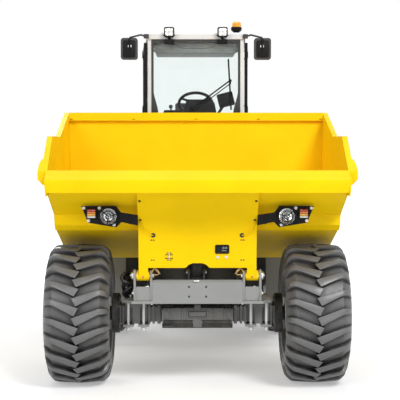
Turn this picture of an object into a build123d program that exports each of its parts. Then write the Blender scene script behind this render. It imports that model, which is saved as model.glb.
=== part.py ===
"""Site dumper with a front-tipping skip and a cab, pivot-steered, in millimetres.

X runs to the machine's left, Y to its rear and Z up. The origin is on the floor, under the machine's middle.
"""
import os
from math import cos, hypot, pi, radians, sin

from build123d import *

# Whole machine
FRONT_OVERHANG = 800            # skip lip ahead of the front axle
WHEELBASE = 2600
REAR_OVERHANG = 1350
TRACK = 1970
LENGTH = FRONT_OVERHANG + WHEELBASE + REAR_OVERHANG
FRONT = -LENGTH / 2
TAIL = LENGTH / 2
FRONT_AXLE = FRONT + FRONT_OVERHANG
REAR_AXLE = FRONT_AXLE + WHEELBASE
PIVOT = (FRONT_AXLE + REAR_AXLE) / 2

# Wheels
TYRE_OD = 1172
TYRE_WIDTH = 536
RIM_OD = 571
RIM_WIDTH = 390
HUB_R = 138
HUB_REACH = 55                  # hub's inner end beyond the rim's edge
SPINDLE_R = 60
SPINDLE = 70                    # spindle's length inside the hub
RUN_FIT = 0.05                  # radial clearance of pins and spindles
HAND_HOLES = 8
HAND_HOLE_R = 27
HAND_HOLE_AT = 190              # radius of the ring of hand holes in the rim's disc
AXLE_END = 712
AXLE_Z = TYRE_OD / 2
SHAFT_Z = AXLE_Z - 41

# Tyre tread and sidewalls
LUGS = 23                       # on each half of the tread
LUG_HEIGHT = 38
TREAD_EDGE = TYRE_WIDTH / 2
# lug rows from the nose to the foot: lower edge's x and rise, upper edge's x and rise, drop of the top
LUG_ROWS = ((6, -36, -30, 30, 0),
            (TREAD_EDGE - 72, 60, TREAD_EDGE - 72, 108, 11),
            (TREAD_EDGE - 22, 62, TREAD_EDGE - 22, 108, 56),
            (TREAD_EDGE, 64, TREAD_EDGE, 108, 142))
# sidewall rings below the lugs' feet: x beyond the rim's edge, height above the rim's seat
SIDEWALL = ((53, 66), (0, 17))

# Skip: side outline as y, z
BACK_TOP = (PIVOT - 25, 2311)
SHOULDER = (FRONT_AXLE + 431, 2078)
BROW = (FRONT_AXLE - 178, 2078)
LIP_BACK = (FRONT + 160, 1806)
LIP_EDGE_Z = 1735
LIP_FACE = 23                   # height of the lip's front edge
LIP_CHIN = (FRONT + 30, 1633)
CHUTE_TOP = (FRONT + 120, 1640)
KNEE = (FRONT_AXLE - 213, 1416)
HEEL = (FRONT_AXLE - 166, 1310)
FLOOR_FRONT = (PIVOT - 538, 980)
FLOOR_BACK = (PIVOT - 205, 980)
SKIP_PLATE = 10
SKIP_TOP_HALF = 1196            # inner half-width at the level rim
SKIP_LEAN = 0.040               # walls lean out by this much per unit of height
RIM_FLANGE = 34
SPAN = SKIP_TOP_HALF + 204      # half-width of the strips that the leaning walls cut to length
# stiffener boxes near the front: x beyond the wall's inner face at the rim, z
STIFFENER = ((-46, 1978), (26, 1978), (64, 1850), (64, 1735), (24, 1692), (-46, 1692))
STIFFENER_Y = (LIP_BACK[0] - 13, LIP_BACK[0] + 145)
RAIL_DEPTH = 60
RAIL_HEIGHT = 76
RAIL_SLOT_PITCH = 590
BACK_RIBS = (-780, -260, 260, 780)

# Skip shield and tipping hinge
SHIELD_HALF = 481
SHIELD_PLATE = 12
SHIELD_TOP = (FRONT + 113, 1634)
SHIELD_BEND = (FRONT_AXLE - 387, 1352)
SHIELD_BOTTOM = (FRONT_AXLE - 343, 1003)
SHIELD_CURVE = 250              # radius of the bend's front face
LEAD_HOLE = (361, 1273, 12)     # x, z, radius
SLOT_ROWS = (1068, 1233)        # z of the pairs of small slots beside the legs
SLOT_X = 366
VENT = (-232, 1097)             # middle of the round vent, as x, z
# vent slots: height above the middle, half length
VENT_SLOTS = ((29, 20), (14.5, 33), (-14.5, 33), (-29, 20))
SOCKET = (200, 1158, 98, 56)    # service socket: x, z, width, height
LEG_INNER = 405
HINGE = (FRONT_AXLE - 275, 934)
HINGE_BOSS_R = 42
HINGE_PIN_R = 25
EAR_INNER = 389
EAR_OUTER = 506
EAR_PLATE = 18

# Tipping cylinder: pin on the chassis and eye under the chute, as y, z
TIP_BASE = (PIVOT - 325, 830)
TIP_EYE = (FRONT_AXLE - 125, 1096)
TIP_BARREL_R = 58
TIP_ROD_R = 34
TIP_PIN_R = 22
TIP_EAR_IN = 63                 # inner face of the ears beside the barrel
TIP_EYE_WIDTH = 90

# Steering cylinder: pin on the rear chassis and eye on the front one, as x, y
STEER_BASE = (360, PIVOT + 550)
STEER_EYE = (220, PIVOT - 105)
STEER_Z = 735
STEER_BARREL_R = 36
STEER_ROD_R = 20
STEER_PIN_R = 16
STEER_STROKE = 135              # each way from straight ahead

# Chassis
BUMPER_FRONT = FRONT_AXLE - 325
BUMPER_Z = (733, 898)
TOW_HOLES = (140, 80)
TOW_HOLE_R = 9
TOW_Z = 805
BASE_HALF = 608
BASE_Z = (705, 728)
FRONT_RAIL_TOP = 905
REST_GAP = 0.5                  # between the rest pads and the skip's floor
FRONT_TAIL = PIVOT - 225
YOKE_Z = (622, 668, 882, 928)   # lower lug, upper lug
YOKE_R = 105
PIVOT_PIN_R = 45
REAR_RAIL_OUT = 300
RAIL_PLATE = 16
REAR_RAIL_Z = (640, 900)
NOSE_Y = (PIVOT + 575, PIVOT + 635)  # cross box behind the pivot
CROSS_Z = (750, 830)
STUD_X = (449, 578)
STUD_R = 12
STUD_Y = 122

# Axle cover
COVER_PLATE = 12
COVER_RIB = 6
COVER_HALF = 280
COVER_Z = (558, 656)
COVER_RIBS = (-225, -125, 125, 225)

# Cab
CAB_FRONT = PIVOT + 325
CAB_BACK = CAB_FRONT + 1240
CAB_PILLAR_B = CAB_FRONT + 935
CAB_FRONT_HALF = 470
CAB_BACK_HALF = 515
CAB_BASE_HALF = 400
CAB_BASE_WALL = 24
CAB_FLOOR_Z = (1490, 1530)
CAB_EAVES = 3038
HEADER_Z = CAB_EAVES - 25
ROOF_RISE = 66
ROOF_TOP = CAB_EAVES + ROOF_RISE
ROOF_LIP = 14                   # roof beyond the cab's walls
PILLAR = 50
SILL_TOP = 1620
REAR_SILL_TOP = 2000
GLASS = 8
DOOR_THICK = 32
DOOR_GAP = 6
DOOR_Z = (1560, 3005)
DOOR_FRAME = 42
HINGE_OUT = 30                  # door hinge axis outside the rear pillar
HINGE_Z = (2380, 2960)
SEAT_Y = (CAB_FRONT + 590, CAB_FRONT + 1090)
SEAT_Z = (1860, 1975)
SEAT_HALF = 230
SEAT_BACK_TOP = 2470
DASH_Y = (CAB_FRONT + 60, CAB_FRONT + 240)
WHEEL_AT = (CAB_FRONT + 400, 2425)   # middle of the steering wheel, as y, z
WHEEL_R = 168
WHEEL_TILT = 38
COLUMN = 300
COLUMN_R = 22

# Rear body
HOOD_FRONT = CAB_BACK + 20
HOOD_BACK = TAIL - 105
HOOD_Z = (965, 1950)
HOOD_TAIL_Z = 1740
HOOD_HALF = (550, 500)
HOOD_WALL = 12
HOOD_HINGE = 16                 # hinge axis above and behind the hood's front top edge
LOUVRE = 35
LOUVRE_PITCH = 70
SIDE_LOUVRES = 6
TAIL_LOUVRES = 7
WEIGHT_FRONT = TAIL - 295
WEIGHT_Z = (560, 955)
WEIGHT_HALF = 690
TOW_PIN_R = 20
TOW_PIN_Y = TAIL - 46
JAW_Z = (660, 740)
GUARD_R = 655
GUARD_WALL = 18
GUARD_X = (712, 1250)
GUARD_ARC = (30, 152)           # degrees up from level at the front
ENGINE_HALF = 268
ENGINE_TOP = 1560
TANK_X = (430, 692)
TANK_Y = (PIVOT + 335, REAR_AXLE - 335)
TANK_Z = (610, 1170)
TANK_ARM_Z = (760, 880)
STEP_Y = (TANK_Y[0] + 15, TANK_Y[0] + 315)
# treads: height, reach
TREADS = ((420, 1000), (670, 980), (915, 960))
TREAD = 25
REAR_LAMP = (356, 524, 796, 894)     # x from, x to, z from, z to

# Roof and outside fittings
MIRROR = (163, 60, 208)         # width, depth, height
MIRROR_AT = (645, CAB_FRONT - 115, 2935)
MIRROR_ARM_R = 9
LIGHT_X = 260
LIGHT_SIZE = 100
BEACON_AT = (400, CAB_FRONT + 80)
BEACON_R = 54
BEACON_FOOT = 58
BEACON_TOP = ROOF_TOP + 119

# Headlamps
LAMP_AT = (714, FRONT_AXLE - 475, 1436)
LAMP_R = 77
LAMP_BRACKET = 6                # half of the bracket's plate
# guard rings' radii, and the angles of its spokes on the left lamp
GUARD_RINGS = (20, 42)
GUARD_SPOKES = (40, 165, 278)
INDICATOR = (812, 889, 1417, 1497)   # x from, x to, z from, z to
INDICATOR_BARS = 4


def prism_x(points, x0, x1, bends=()):
    """Outline in y, z drawn out from x0 to x1; bends lists the points to round and their radii."""
    face = make_face(Polyline(*points, close=True))
    for point, radius in bends:
        face = fillet(face.vertices().sort_by_distance((*point, 0))[0], radius)
    return extrude(Pos(x0, 0, 0) * (Plane.YZ * face), x1 - x0, dir=(1, 0, 0))


def prism_y(points, y0, y1):
    """Outline in x, z drawn out from y0 to y1."""
    face = Plane.XZ * make_face(Polyline(*points, close=True))
    return extrude(Pos(0, y0, 0) * face, y1 - y0, dir=(0, 1, 0))


def prism_z(points, z0, z1):
    """Outline in x, y drawn out from z0 to z1."""
    face = make_face(Polyline(*points, close=True))
    return extrude(Pos(0, 0, z0) * face, z1 - z0, dir=(0, 0, 1))


def block(x0, x1, y0, y1, z0, z1):
    return Pos((x0 + x1) / 2, (y0 + y1) / 2, (z0 + z1) / 2) * Box(x1 - x0, y1 - y0, z1 - z0)


def rod(p, q, r):
    """Round bar from point p to point q."""
    p, q = Vector(*p), Vector(*q)
    plane = Plane(origin=p, z_dir=(q - p).normalized())
    return extrude(plane * Circle(r), (q - p).length)


def both(part):
    """A piece and its mirror image on the other side."""
    return part + mirror(part, Plane.YZ)


def along(p, q, t):
    return tuple(a + (b - a) * t for a, b in zip(p, q))


# Wheels

def lug_corner(half, i, x, rise, drop):
    """Point of lug i on one half of the tread, rise measured round the tyre and drop in from its radius."""
    r = TYRE_OD / 2
    first = -pi / 2 - LUG_ROWS[0][3] / r
    a = first + (i + (half < 0) / 2) * 2 * pi / LUGS + rise / r
    return half * x, -(r - drop) * cos(a), (r - drop) * sin(a)


def lug_rows(half, i, rows, sunk):
    """Lower and upper corner of a lug in each row, sunk below its top."""
    corners = []
    for x0, rise0, x1, rise1, drop in rows:
        lower = lug_corner(half, i, x0, rise0, drop + sunk)
        corners.append((lower, lug_corner(half, i, x1, rise1, drop + sunk)))
    return corners


def two(a, b, c, d):
    """Two facets across a four-sided patch."""
    return [(a, b, c), (a, c, d)]


def lug_facets(half, i):
    nose, shoulder, edge, foot = lug_rows(half, i, LUG_ROWS, 0)
    nose_low, shoulder_low = lug_rows(half, i, LUG_ROWS[:2], LUG_HEIGHT)
    facets = two(nose_low[0], nose_low[1], nose[1], nose[0])
    for a, b in ((nose, shoulder), (shoulder, edge), (edge, foot)):
        facets += two(a[0], b[0], b[1], a[1])
    for k in (0, 1):
        facets += two(nose_low[k], shoulder_low[k], shoulder[k], nose[k])
        facets += two(shoulder_low[k], foot[k], edge[k], shoulder[k])
    return facets


def groove_facets(half, i):
    """Floor of the groove from lug i to the next, round the nose of the lug across the tread."""
    nose, shoulder = lug_rows(half, i, LUG_ROWS[:2], LUG_HEIGHT)
    next_nose, next_shoulder = lug_rows(half, i + 1, LUG_ROWS[:2], LUG_HEIGHT)
    across = lug_rows(-half, i if half > 0 else i + 1, LUG_ROWS[:1], LUG_HEIGHT)[0]
    foot = lug_rows(half, i, LUG_ROWS[3:], 0)[0]
    next_foot = lug_rows(half, i + 1, LUG_ROWS[3:], 0)[0]
    return [(shoulder[1], nose[1], across[0]), (shoulder[1], across[0], across[1]),
            (shoulder[1], across[1], next_shoulder[0]), (across[1], next_nose[0], next_shoulder[0]),
            *two(shoulder[1], next_shoulder[0], next_foot[0], foot[1])]


def sidewall_facets(half, i):
    """Sidewall, bead and half of the bore between the middles of two lugs."""
    r, seat = TYRE_OD / 2, RIM_OD / 2
    rings = SIDEWALL + ((0, seat / cos(pi / LUGS) - seat),)
    middle = (LUG_ROWS[-1][1] + LUG_ROWS[-1][3]) / 2

    def ring_points(side, j):
        return [lug_corner(side, j, RIM_WIDTH / 2 + x, middle, r - seat - height) for x, height in rings]

    here, there = ring_points(half, i), ring_points(half, i + 1)
    foot = lug_rows(half, i, LUG_ROWS[3:], 0)[0]
    next_foot = lug_rows(half, i + 1, LUG_ROWS[3:], 0)[0]
    facets = [(foot[0], foot[1], here[0])] + two(foot[1], next_foot[0], there[0], here[0])
    for k in range(len(SIDEWALL)):
        facets += two(here[k], there[k], there[k + 1], here[k + 1])
    across = ring_points(-half, i if half > 0 else i + 1)
    return facets + [(here[-1], there[-1], across[-1])]


def tyre():
    """Tyre about the origin, its lugs staggered by half a pitch across the tread."""
    facets = []
    for half in (1, -1):
        for i in range(LUGS):
            facets += lug_facets(half, i) + groove_facets(half, i) + sidewall_facets(half, i)
    return Solid(Shell([Face(Wire.make_polygon(corners, close=True)) for corners in facets]))


def rim():
    """Rim, disc and hub about the origin; the disc dishes to +X."""
    side, seat = RIM_WIDTH / 2, RIM_OD / 2
    inner = -side - HUB_REACH
    bore = SPINDLE_R + RUN_FIT
    well = [(-side - 16, seat + 14), (-side, seat + 14), (-side, seat), (side, seat), (side, seat + 14),
            (side + 16, seat + 14), (side + 16, seat - 14), (96, seat - 18)]
    face = [(72, seat - 46), (72, HUB_R - 20), (118, HUB_R - 32), (118, 0)]
    hub = [(inner + SPINDLE, 0), (inner + SPINDLE, bore), (inner, bore), (inner, HUB_R), (54, HUB_R)]
    back = [(54, seat - 40), (20, seat - 18), (-side - 16, seat - 14)]
    outline = Polyline(*well, *face, *hub, *back, close=True)
    wheel = revolve(make_face(outline), Axis.X)
    hole = rod((40, 0, HAND_HOLE_AT), (100, 0, HAND_HOLE_AT), HAND_HOLE_R)
    for i in range(HAND_HOLES):
        wheel -= Rot(360 / HAND_HOLES * i, 0, 0) * hole
    return wheel


# Running gear

def axle(y, nose):
    """Drive axle with ribbed arms; nose is the side of the input shaft, +1 rear and -1 front."""
    body = block(-293, 293, y - 215, y + 185, 483, 687)
    body = chamfer(body.edges().filter_by(Axis.X), 45)
    arm = block(280, 655, y - 66, y + 66, 520, 646)
    # rib: x of its middle, half width
    ribs = [(322, 14), (368, 9), (404, 9), (512, 34), (622, 9), (650, 12)]
    for x, half in ribs:
        arm += block(x - half, x + half, y - 84, y + 84, 505, 660)
    arm += block(420, 608, y - 84, y + 84, 640, BASE_Z[0])
    arm += rod((655, y, AXLE_Z), (AXLE_END, y, AXLE_Z), 160)
    hub_face = TRACK / 2 - RIM_WIDTH / 2 - HUB_REACH
    arm += rod((AXLE_END, y, AXLE_Z), (hub_face + SPINDLE - 3, y, AXLE_Z), SPINDLE_R)
    body += both(arm)
    body += axle_cover(y - 215 if nose > 0 else y + 185, nose)
    body += rod((0, y + nose * 150, SHAFT_Z), (0, y + nose * 300, SHAFT_Z), 70)
    return body


def axle_cover(face, nose):
    """Bolted cover on the axle's far side from its shaft, with ribs, a plain raised panel and two tabs."""
    out = face - nose * COVER_PLATE
    rise = face - nose * (COVER_PLATE + COVER_RIB)
    near, far = sorted((face + nose * 20, out))
    near_rib, far_rib = sorted((face, rise))
    z0, z1 = COVER_Z
    cover = block(-COVER_HALF, COVER_HALF, near, far, z0, z1)
    for x in COVER_RIBS:
        cover += block(x - 6, x + 6, near_rib, far_rib, z0 + 3, z1 - 3)
    cover += block(-88, 88, near_rib, far_rib, z0 + 17, z1 - 17)
    cover += block(-26, 26, near_rib, far_rib, z1 - 10, z1 + 30)
    return cover + block(-36, 36, near, far, z0 - 60, z0)


def clamps(y):
    """Bars under the axle arms, each pulled up by two studs."""
    out = None
    for x in STUD_X:
        bar = block(x - 46, x + 46, y - STUD_Y - 34, y + STUD_Y + 34, 487, 505)
        for end in (-1, 1):
            bar += rod((x, y + end * STUD_Y, 467), (x, y + end * STUD_Y, BASE_Z[0]), STUD_R)
            bar += Pos(x, y + end * STUD_Y, 477) * extrude(RegularPolygon(20, 6), 20, both=True)
        out = bar if out is None else out + bar
    return both(out)


def base_plate(y):
    right = [(BASE_HALF - 66, y - 325), (BASE_HALF, y - 250), (BASE_HALF, y + 190)]
    left = [(-x, at) for x, at in reversed(right)]
    return prism_z(right + left, *BASE_Z)


def front_chassis():
    y0, z0 = BUMPER_FRONT, BASE_Z[1]
    frame = base_plate(FRONT_AXLE)
    # inner rails run from the hinge ears to the rear cross plate
    hy, hz = HINGE
    ear = [(y0 + 8, z0), (y0 + 4, hz - 40), (hy - 46, hz + 10), (hy - 30, hz + 46), (hy + 24, hz + 50),
           (hy + 56, hz + 18), (hy + 120, FRONT_RAIL_TOP - 20)]
    rail = prism_x(ear + [(hy + 170, FRONT_RAIL_TOP), (FRONT_TAIL, FRONT_RAIL_TOP), (FRONT_TAIL, 500),
                          (FRONT_TAIL - 330, 500), (FRONT_TAIL - 480, z0)],
                   EAR_INNER - EAR_PLATE, EAR_INNER)
    rail += prism_x(ear + [(hy + 150, z0)], EAR_OUTER, EAR_OUTER + EAR_PLATE)
    rail += block(EAR_INNER, EAR_OUTER, y0 + 12, y0 + 26, z0, 845)
    for x0 in (EAR_INNER - EAR_PLATE, EAR_OUTER):
        rail -= rod((x0 - 5, hy, hz), (x0 + EAR_PLATE + 5, hy, hz), HINGE_PIN_R + RUN_FIT)
    # rest pad bracket under the skip floor
    rail += block(EAR_INNER - 90, EAR_INNER, FLOOR_FRONT[0] + 53, FLOOR_FRONT[0] + 193, FRONT_RAIL_TOP - 20,
                  FLOOR_FRONT[1] - REST_GAP)
    frame += both(rail)
    inner = EAR_INNER - EAR_PLATE
    bumper = prism_x([(y0, z0), (y0, BUMPER_Z[1] - 22), (y0 + 22, BUMPER_Z[1]), (y0 + 70, BUMPER_Z[1]),
                      (y0 + 70, BUMPER_Z[1] - 14), (y0 + 28, BUMPER_Z[1] - 14), (y0 + 16, BUMPER_Z[1] - 26),
                      (y0 + 16, z0)], -inner, inner)
    for x in (-TOW_HOLES[0] / 2, TOW_HOLES[0] / 2):
        for z in (TOW_Z - TOW_HOLES[1] / 2, TOW_Z + TOW_HOLES[1] / 2):
            bumper -= rod((x, y0 - 5, z), (x, y0 + 40, z), TOW_HOLE_R)
    frame += bumper
    # cross tube ahead of the tipping cylinder, rear cross plate and its shaft hole
    frame += block(-inner, inner, FRONT_AXLE + 245, FRONT_AXLE + 315, z0 - 60, z0 + 30)
    plate = block(-inner, inner, FRONT_TAIL - 24, FRONT_TAIL, 500, FRONT_RAIL_TOP)
    plate -= rod((0, FRONT_TAIL - 40, SHAFT_Z), (0, FRONT_TAIL + 20, SHAFT_Z), 70)
    frame += plate
    # yoke around the rear chassis' pivot block
    for z in (YOKE_Z[0], YOKE_Z[2]):
        lug = block(-YOKE_R, YOKE_R, FRONT_TAIL - 10, PIVOT, z, z + 46)
        lug += Pos(0, PIVOT, z + 23) * Cylinder(YOKE_R, 46)
        lug -= Pos(0, PIVOT, z + 23) * Cylinder(PIVOT_PIN_R + RUN_FIT, 60)
        frame += lug
    corner = (FRONT_TAIL, YOKE_Z[1])
    web = prism_x([corner, (corner[0] + 95, corner[1]), (corner[0], corner[1] + 90)], 80, 100)
    frame += both(web)
    # ears of the tipping cylinder's pin
    by, bz = TIP_BASE
    ears = prism_x([(by - 46, bz - 30), (by - 46, bz + 26), (by - 18, bz + 48), (by + 26, bz + 48),
                    (FRONT_TAIL - 24, bz + 60), (FRONT_TAIL - 24, bz - 150)], TIP_EAR_IN, TIP_EAR_IN + 18)
    ears -= rod((TIP_EAR_IN - 10, by, bz), (TIP_EAR_IN + 30, by, bz), TIP_PIN_R + RUN_FIT)
    frame += both(ears)
    # lugs of the steering cylinder's eye
    ex, ey = STEER_EYE
    for z in (STEER_Z - 47, STEER_Z + 29):
        lug = block(ex - 46, ex + 46, FRONT_TAIL - 4, ey, z, z + 18)
        lug += Pos(ex, ey, z + 9) * Cylinder(46, 18)
        frame += lug
    return frame


def front_pins():
    hy, hz = HINGE
    by, bz = TIP_BASE
    hinge = rod((EAR_INNER - EAR_PLATE - 14, hy, hz), (EAR_OUTER + EAR_PLATE, hy, hz), HINGE_PIN_R)
    hinge += rod((EAR_OUTER + EAR_PLATE, hy, hz), (EAR_OUTER + EAR_PLATE + 14, hy, hz), HINGE_PIN_R + 12)
    pins = both(hinge) + rod((-TIP_EAR_IN - 32, by, bz), (TIP_EAR_IN + 32, by, bz), TIP_PIN_R)
    pivot = rod((0, PIVOT, YOKE_Z[0] - 14), (0, PIVOT, YOKE_Z[3]), PIVOT_PIN_R)
    pivot += rod((0, PIVOT, YOKE_Z[3]), (0, PIVOT, YOKE_Z[3] + 12), PIVOT_PIN_R + 18)
    return pins + pivot


def shaft(y0, y1):
    body = rod((0, y0, SHAFT_Z), (0, y1, SHAFT_Z), 36)
    for y, end in ((y0, 1), (y1, -1)):
        body += rod((0, y, SHAFT_Z), (0, y + end * 34, SHAFT_Z), 58)
    return body


def rear_chassis():
    inner = REAR_RAIL_OUT - RAIL_PLATE
    z0, z1 = REAR_RAIL_Z
    # pivot block, swivel housing and nose
    body = block(-92, 92, PIVOT, PIVOT + 170, YOKE_Z[1] + 6, YOKE_Z[2] - 6)
    body += Pos(0, PIVOT, (YOKE_Z[1] + YOKE_Z[2]) / 2) * Cylinder(92, YOKE_Z[2] - YOKE_Z[1] - 12)
    body -= Pos(0, PIVOT, (YOKE_Z[1] + YOKE_Z[2]) / 2) * Cylinder(PIVOT_PIN_R + RUN_FIT, 400)
    mid = (YOKE_Z[1] + YOKE_Z[2]) / 2
    body += rod((0, PIVOT + 150, mid), (0, PIVOT + 265, mid), 128)
    body += prism_z([(-165, PIVOT + 250), (165, PIVOT + 250), (190, PIVOT + 330), (REAR_RAIL_OUT, NOSE_Y[0]),
                     (REAR_RAIL_OUT, NOSE_Y[1]), (-REAR_RAIL_OUT, NOSE_Y[1]), (-REAR_RAIL_OUT, NOSE_Y[0]),
                     (-190, PIVOT + 330)], z0, z1)
    rail = prism_x([(NOSE_Y[0] - 10, z0), (NOSE_Y[0] - 10, z1), (WEIGHT_FRONT, z1), (WEIGHT_FRONT, z0 + 70),
                    (REAR_AXLE + 300, z0 + 70), (REAR_AXLE + 230, BASE_Z[1]), (REAR_AXLE - 330, BASE_Z[1]),
                    (REAR_AXLE - 400, z0)], inner, REAR_RAIL_OUT)
    # arms carrying the side tanks
    for y in (TANK_Y[0] + 340, TANK_Y[1] - 60):
        rail += block(REAR_RAIL_OUT, TANK_X[0], y, y + 24, TANK_ARM_Z[0], TANK_ARM_Z[1])
    body += both(rail)
    # ears of the steering cylinder's pin
    sx, sy = STEER_BASE
    for z in (STEER_Z - 56, STEER_Z + 42):
        ear = prism_z([(REAR_RAIL_OUT - 8, sy + 18), (sx - 20, sy - 34), (sx + 20, sy - 34), (sx + 38, sy),
                       (sx + 30, sy + 40), (REAR_RAIL_OUT - 8, sy + 130)], z, z + 14)
        ear -= Pos(sx, sy, z) * Cylinder(STEER_PIN_R + RUN_FIT, 60)
        body += ear
    body += base_plate(REAR_AXLE)
    for y in (REAR_AXLE - 385, HOOD_FRONT + 90, WEIGHT_FRONT - 180):
        body += block(-inner, inner, y, y + 60, CROSS_Z[0], CROSS_Z[1])
    return body


def steer_pin():
    sx, sy = STEER_BASE
    return rod((sx, sy, STEER_Z - 66), (sx, sy, STEER_Z + 66), STEER_PIN_R)


def cylinder(base, eye, barrel_r, rod_r, pin_r, base_w, eye_w, gland, inward):
    """Barrel and rod from the base pin to the eye, both 3-D points; inward is the stroke left to close."""

    def cross_bar(middle, reach, r):
        low, high = [m - c for m, c in zip(middle, reach)], [m + c for m, c in zip(middle, reach)]
        return rod(low, high, r)

    length = hypot(*[b - a for a, b in zip(base, eye)])
    flat = abs(base[2] - eye[2]) < 1e-6
    side = (0, 0, 1) if flat else (1, 0, 0)
    end = along(base, eye, 1 - gland / length)
    start = along(base, eye, 0.7 * barrel_r / length)
    cross = [s * base_w / 2 for s in side]
    tip = [s * eye_w / 2 for s in side]
    eye_r = barrel_r * 0.86
    barrel = rod(start, end, barrel_r)
    barrel += cross_bar(base, cross, eye_r)
    barrel -= cross_bar(base, [2 * c for c in cross], pin_r + RUN_FIT)
    bore = along(base, eye, 1.5 * barrel_r / length)
    barrel -= rod(bore, along(base, eye, 1), rod_r + 0.4)
    stick = rod(along(base, eye, (1.5 * barrel_r + 25 + inward) / length), eye, rod_r)
    stick += cross_bar(eye, tip, eye_r * 0.9)
    stick -= cross_bar(eye, [2 * c for c in tip], pin_r)
    return barrel, stick


# Skip

def half_at(z, grow=0.0):
    return SKIP_TOP_HALF + (z - BROW[1]) * SKIP_LEAN + grow


def hull_prism(grow):
    """Everything between the leaning side walls."""
    z0, z1 = 900, 2500
    return prism_y([(-half_at(z0, grow), z0), (half_at(z0, grow), z0), (half_at(z1, grow), z1),
                    (-half_at(z1, grow), z1)], FRONT - 100, 100)


def offset_in(points, t):
    """Open line of plates moved inwards by t at each vertex, inward being to the left of the way it runs."""
    moved = []
    for i, p in enumerate(points):
        before = points[i - 1] if i else None
        after = points[i + 1] if i + 1 < len(points) else None
        normals = []
        for a, b in ((before, p), (p, after)):
            if a and b:
                size = hypot(b[0] - a[0], b[1] - a[1])
                normals.append((-(b[1] - a[1]) / size, (b[0] - a[0]) / size))
        if len(normals) == 1:
            nx, nz = normals[0]
            moved.append((p[0] + nx * t, p[1] + nz * t))
        else:
            (ax, az), (bx, bz) = normals
            scale = t / (1 + ax * bx + az * bz)
            moved.append((p[0] + (ax + bx) * scale, p[1] + (az + bz) * scale))
    return moved


def back_lean():
    """How far the back wall leans to the rear per unit of height."""
    return (BACK_TOP[0] - SKIP_PLATE - FLOOR_BACK[0]) / (BACK_TOP[1] - FLOOR_BACK[1])


def skip_floor():
    line = [CHUTE_TOP, KNEE, HEEL, FLOOR_FRONT, FLOOR_BACK]
    inner = offset_in(line, SKIP_PLATE)
    inner[-1] = (FLOOR_BACK[0] + back_lean() * SKIP_PLATE, FLOOR_BACK[1] + SKIP_PLATE)
    return (prism_x(line + inner[::-1], -SPAN, SPAN) & hull_prism(0)) + tip_bracket()


def skip_beam():
    """Folded beam across the chute's knee, with end plates."""
    y, z = KNEE
    nose = [(y - 40, z + 19), (y - 28, z - 70), (y + 20, z - 116), HEEL, KNEE]
    return prism_x(nose, -SPAN, SPAN) & hull_prism(SKIP_PLATE)


def skip_back():
    t = SKIP_PLATE
    (y0, z0), (y1, z1) = FLOOR_BACK, BACK_TOP
    wall = prism_x([(y0, z0), (y0 + t, z0), (y1, z1), (y1 - t, z1)], -SPAN, SPAN)
    foot = y1 - RAIL_HEIGHT * back_lean()
    rail = prism_x([(y1 - t, z1), (y1 - RAIL_DEPTH, z1), (y1 - RAIL_DEPTH - 6, z1 - RAIL_HEIGHT),
                    (foot - t, z1 - RAIL_HEIGHT)], -SPAN, SPAN)
    # back bracing: vertical ribs, x of the middle
    ribs = None
    inside = prism_x([(y0 - 30, z0), (y0 + t, z0), (y1, z1), (y1 - 60, z1)], -SPAN, SPAN)
    outline = [(y0 + t, z0 + 20), (y0 + 62, z0 + 60), (y1 + 30, z1 - 120), (y1 + 2, z1 - 20), (y1, z1 - 20)]
    for x in BACK_RIBS:
        rib = prism_x(outline, x - 30, x + 30) - inside
        ribs = rib if ribs is None else ribs + rib
    sheet = ((wall + rail) & hull_prism(0)) + ribs
    slot_z = z1 - RAIL_HEIGHT + 14
    for i in range(-2, 3):
        x = i * RAIL_SLOT_PITCH
        sheet -= block(x - 14, x + 14, y1 - RAIL_DEPTH - 20, y1 - RAIL_DEPTH + 14, slot_z - 5, slot_z + 5)
    return sheet


def skip_sides():
    top = [BACK_TOP, SHOULDER, BROW, LIP_BACK, (FRONT, LIP_EDGE_Z)]
    outline = [FLOOR_BACK, (FLOOR_BACK[0] + SKIP_PLATE, FLOOR_BACK[1])] + top
    below = [(y, z - 28) for y, z in (LIP_CHIN, CHUTE_TOP)]
    outline += [(FRONT, LIP_EDGE_Z - LIP_FACE), *below, along(CHUTE_TOP, KNEE, 0.15), KNEE, HEEL, FLOOR_FRONT]
    walls = (hull_prism(SKIP_PLATE) - hull_prism(0)) & prism_x(outline, -SPAN, SPAN)
    # folded top edge
    under = offset_in([BACK_TOP, SHOULDER, BROW, LIP_BACK], 12)
    edge = prism_x([BACK_TOP, SHOULDER, BROW, LIP_BACK] + under[::-1], 0, SPAN)
    edge = edge & (hull_prism(SKIP_PLATE + RIM_FLANGE) - hull_prism(SKIP_PLATE))
    walls += both(edge)
    box = prism_y([(SKIP_TOP_HALF + out, z) for out, z in STIFFENER], *STIFFENER_Y) - hull_prism(SKIP_PLATE)
    above = [(FRONT, BACK_TOP[1]), (BROW[0], BACK_TOP[1])]
    trim = prism_x([BROW, LIP_BACK, (FRONT, LIP_EDGE_Z)] + above, 0, SPAN)
    walls += both(box - trim)
    return walls


def skip_lip():
    rim_line = [LIP_BACK, (FRONT, LIP_EDGE_Z), (FRONT, LIP_EDGE_Z - LIP_FACE), LIP_CHIN, CHUTE_TOP]
    return prism_x(rim_line, -SPAN, SPAN) & hull_prism(0)


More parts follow.
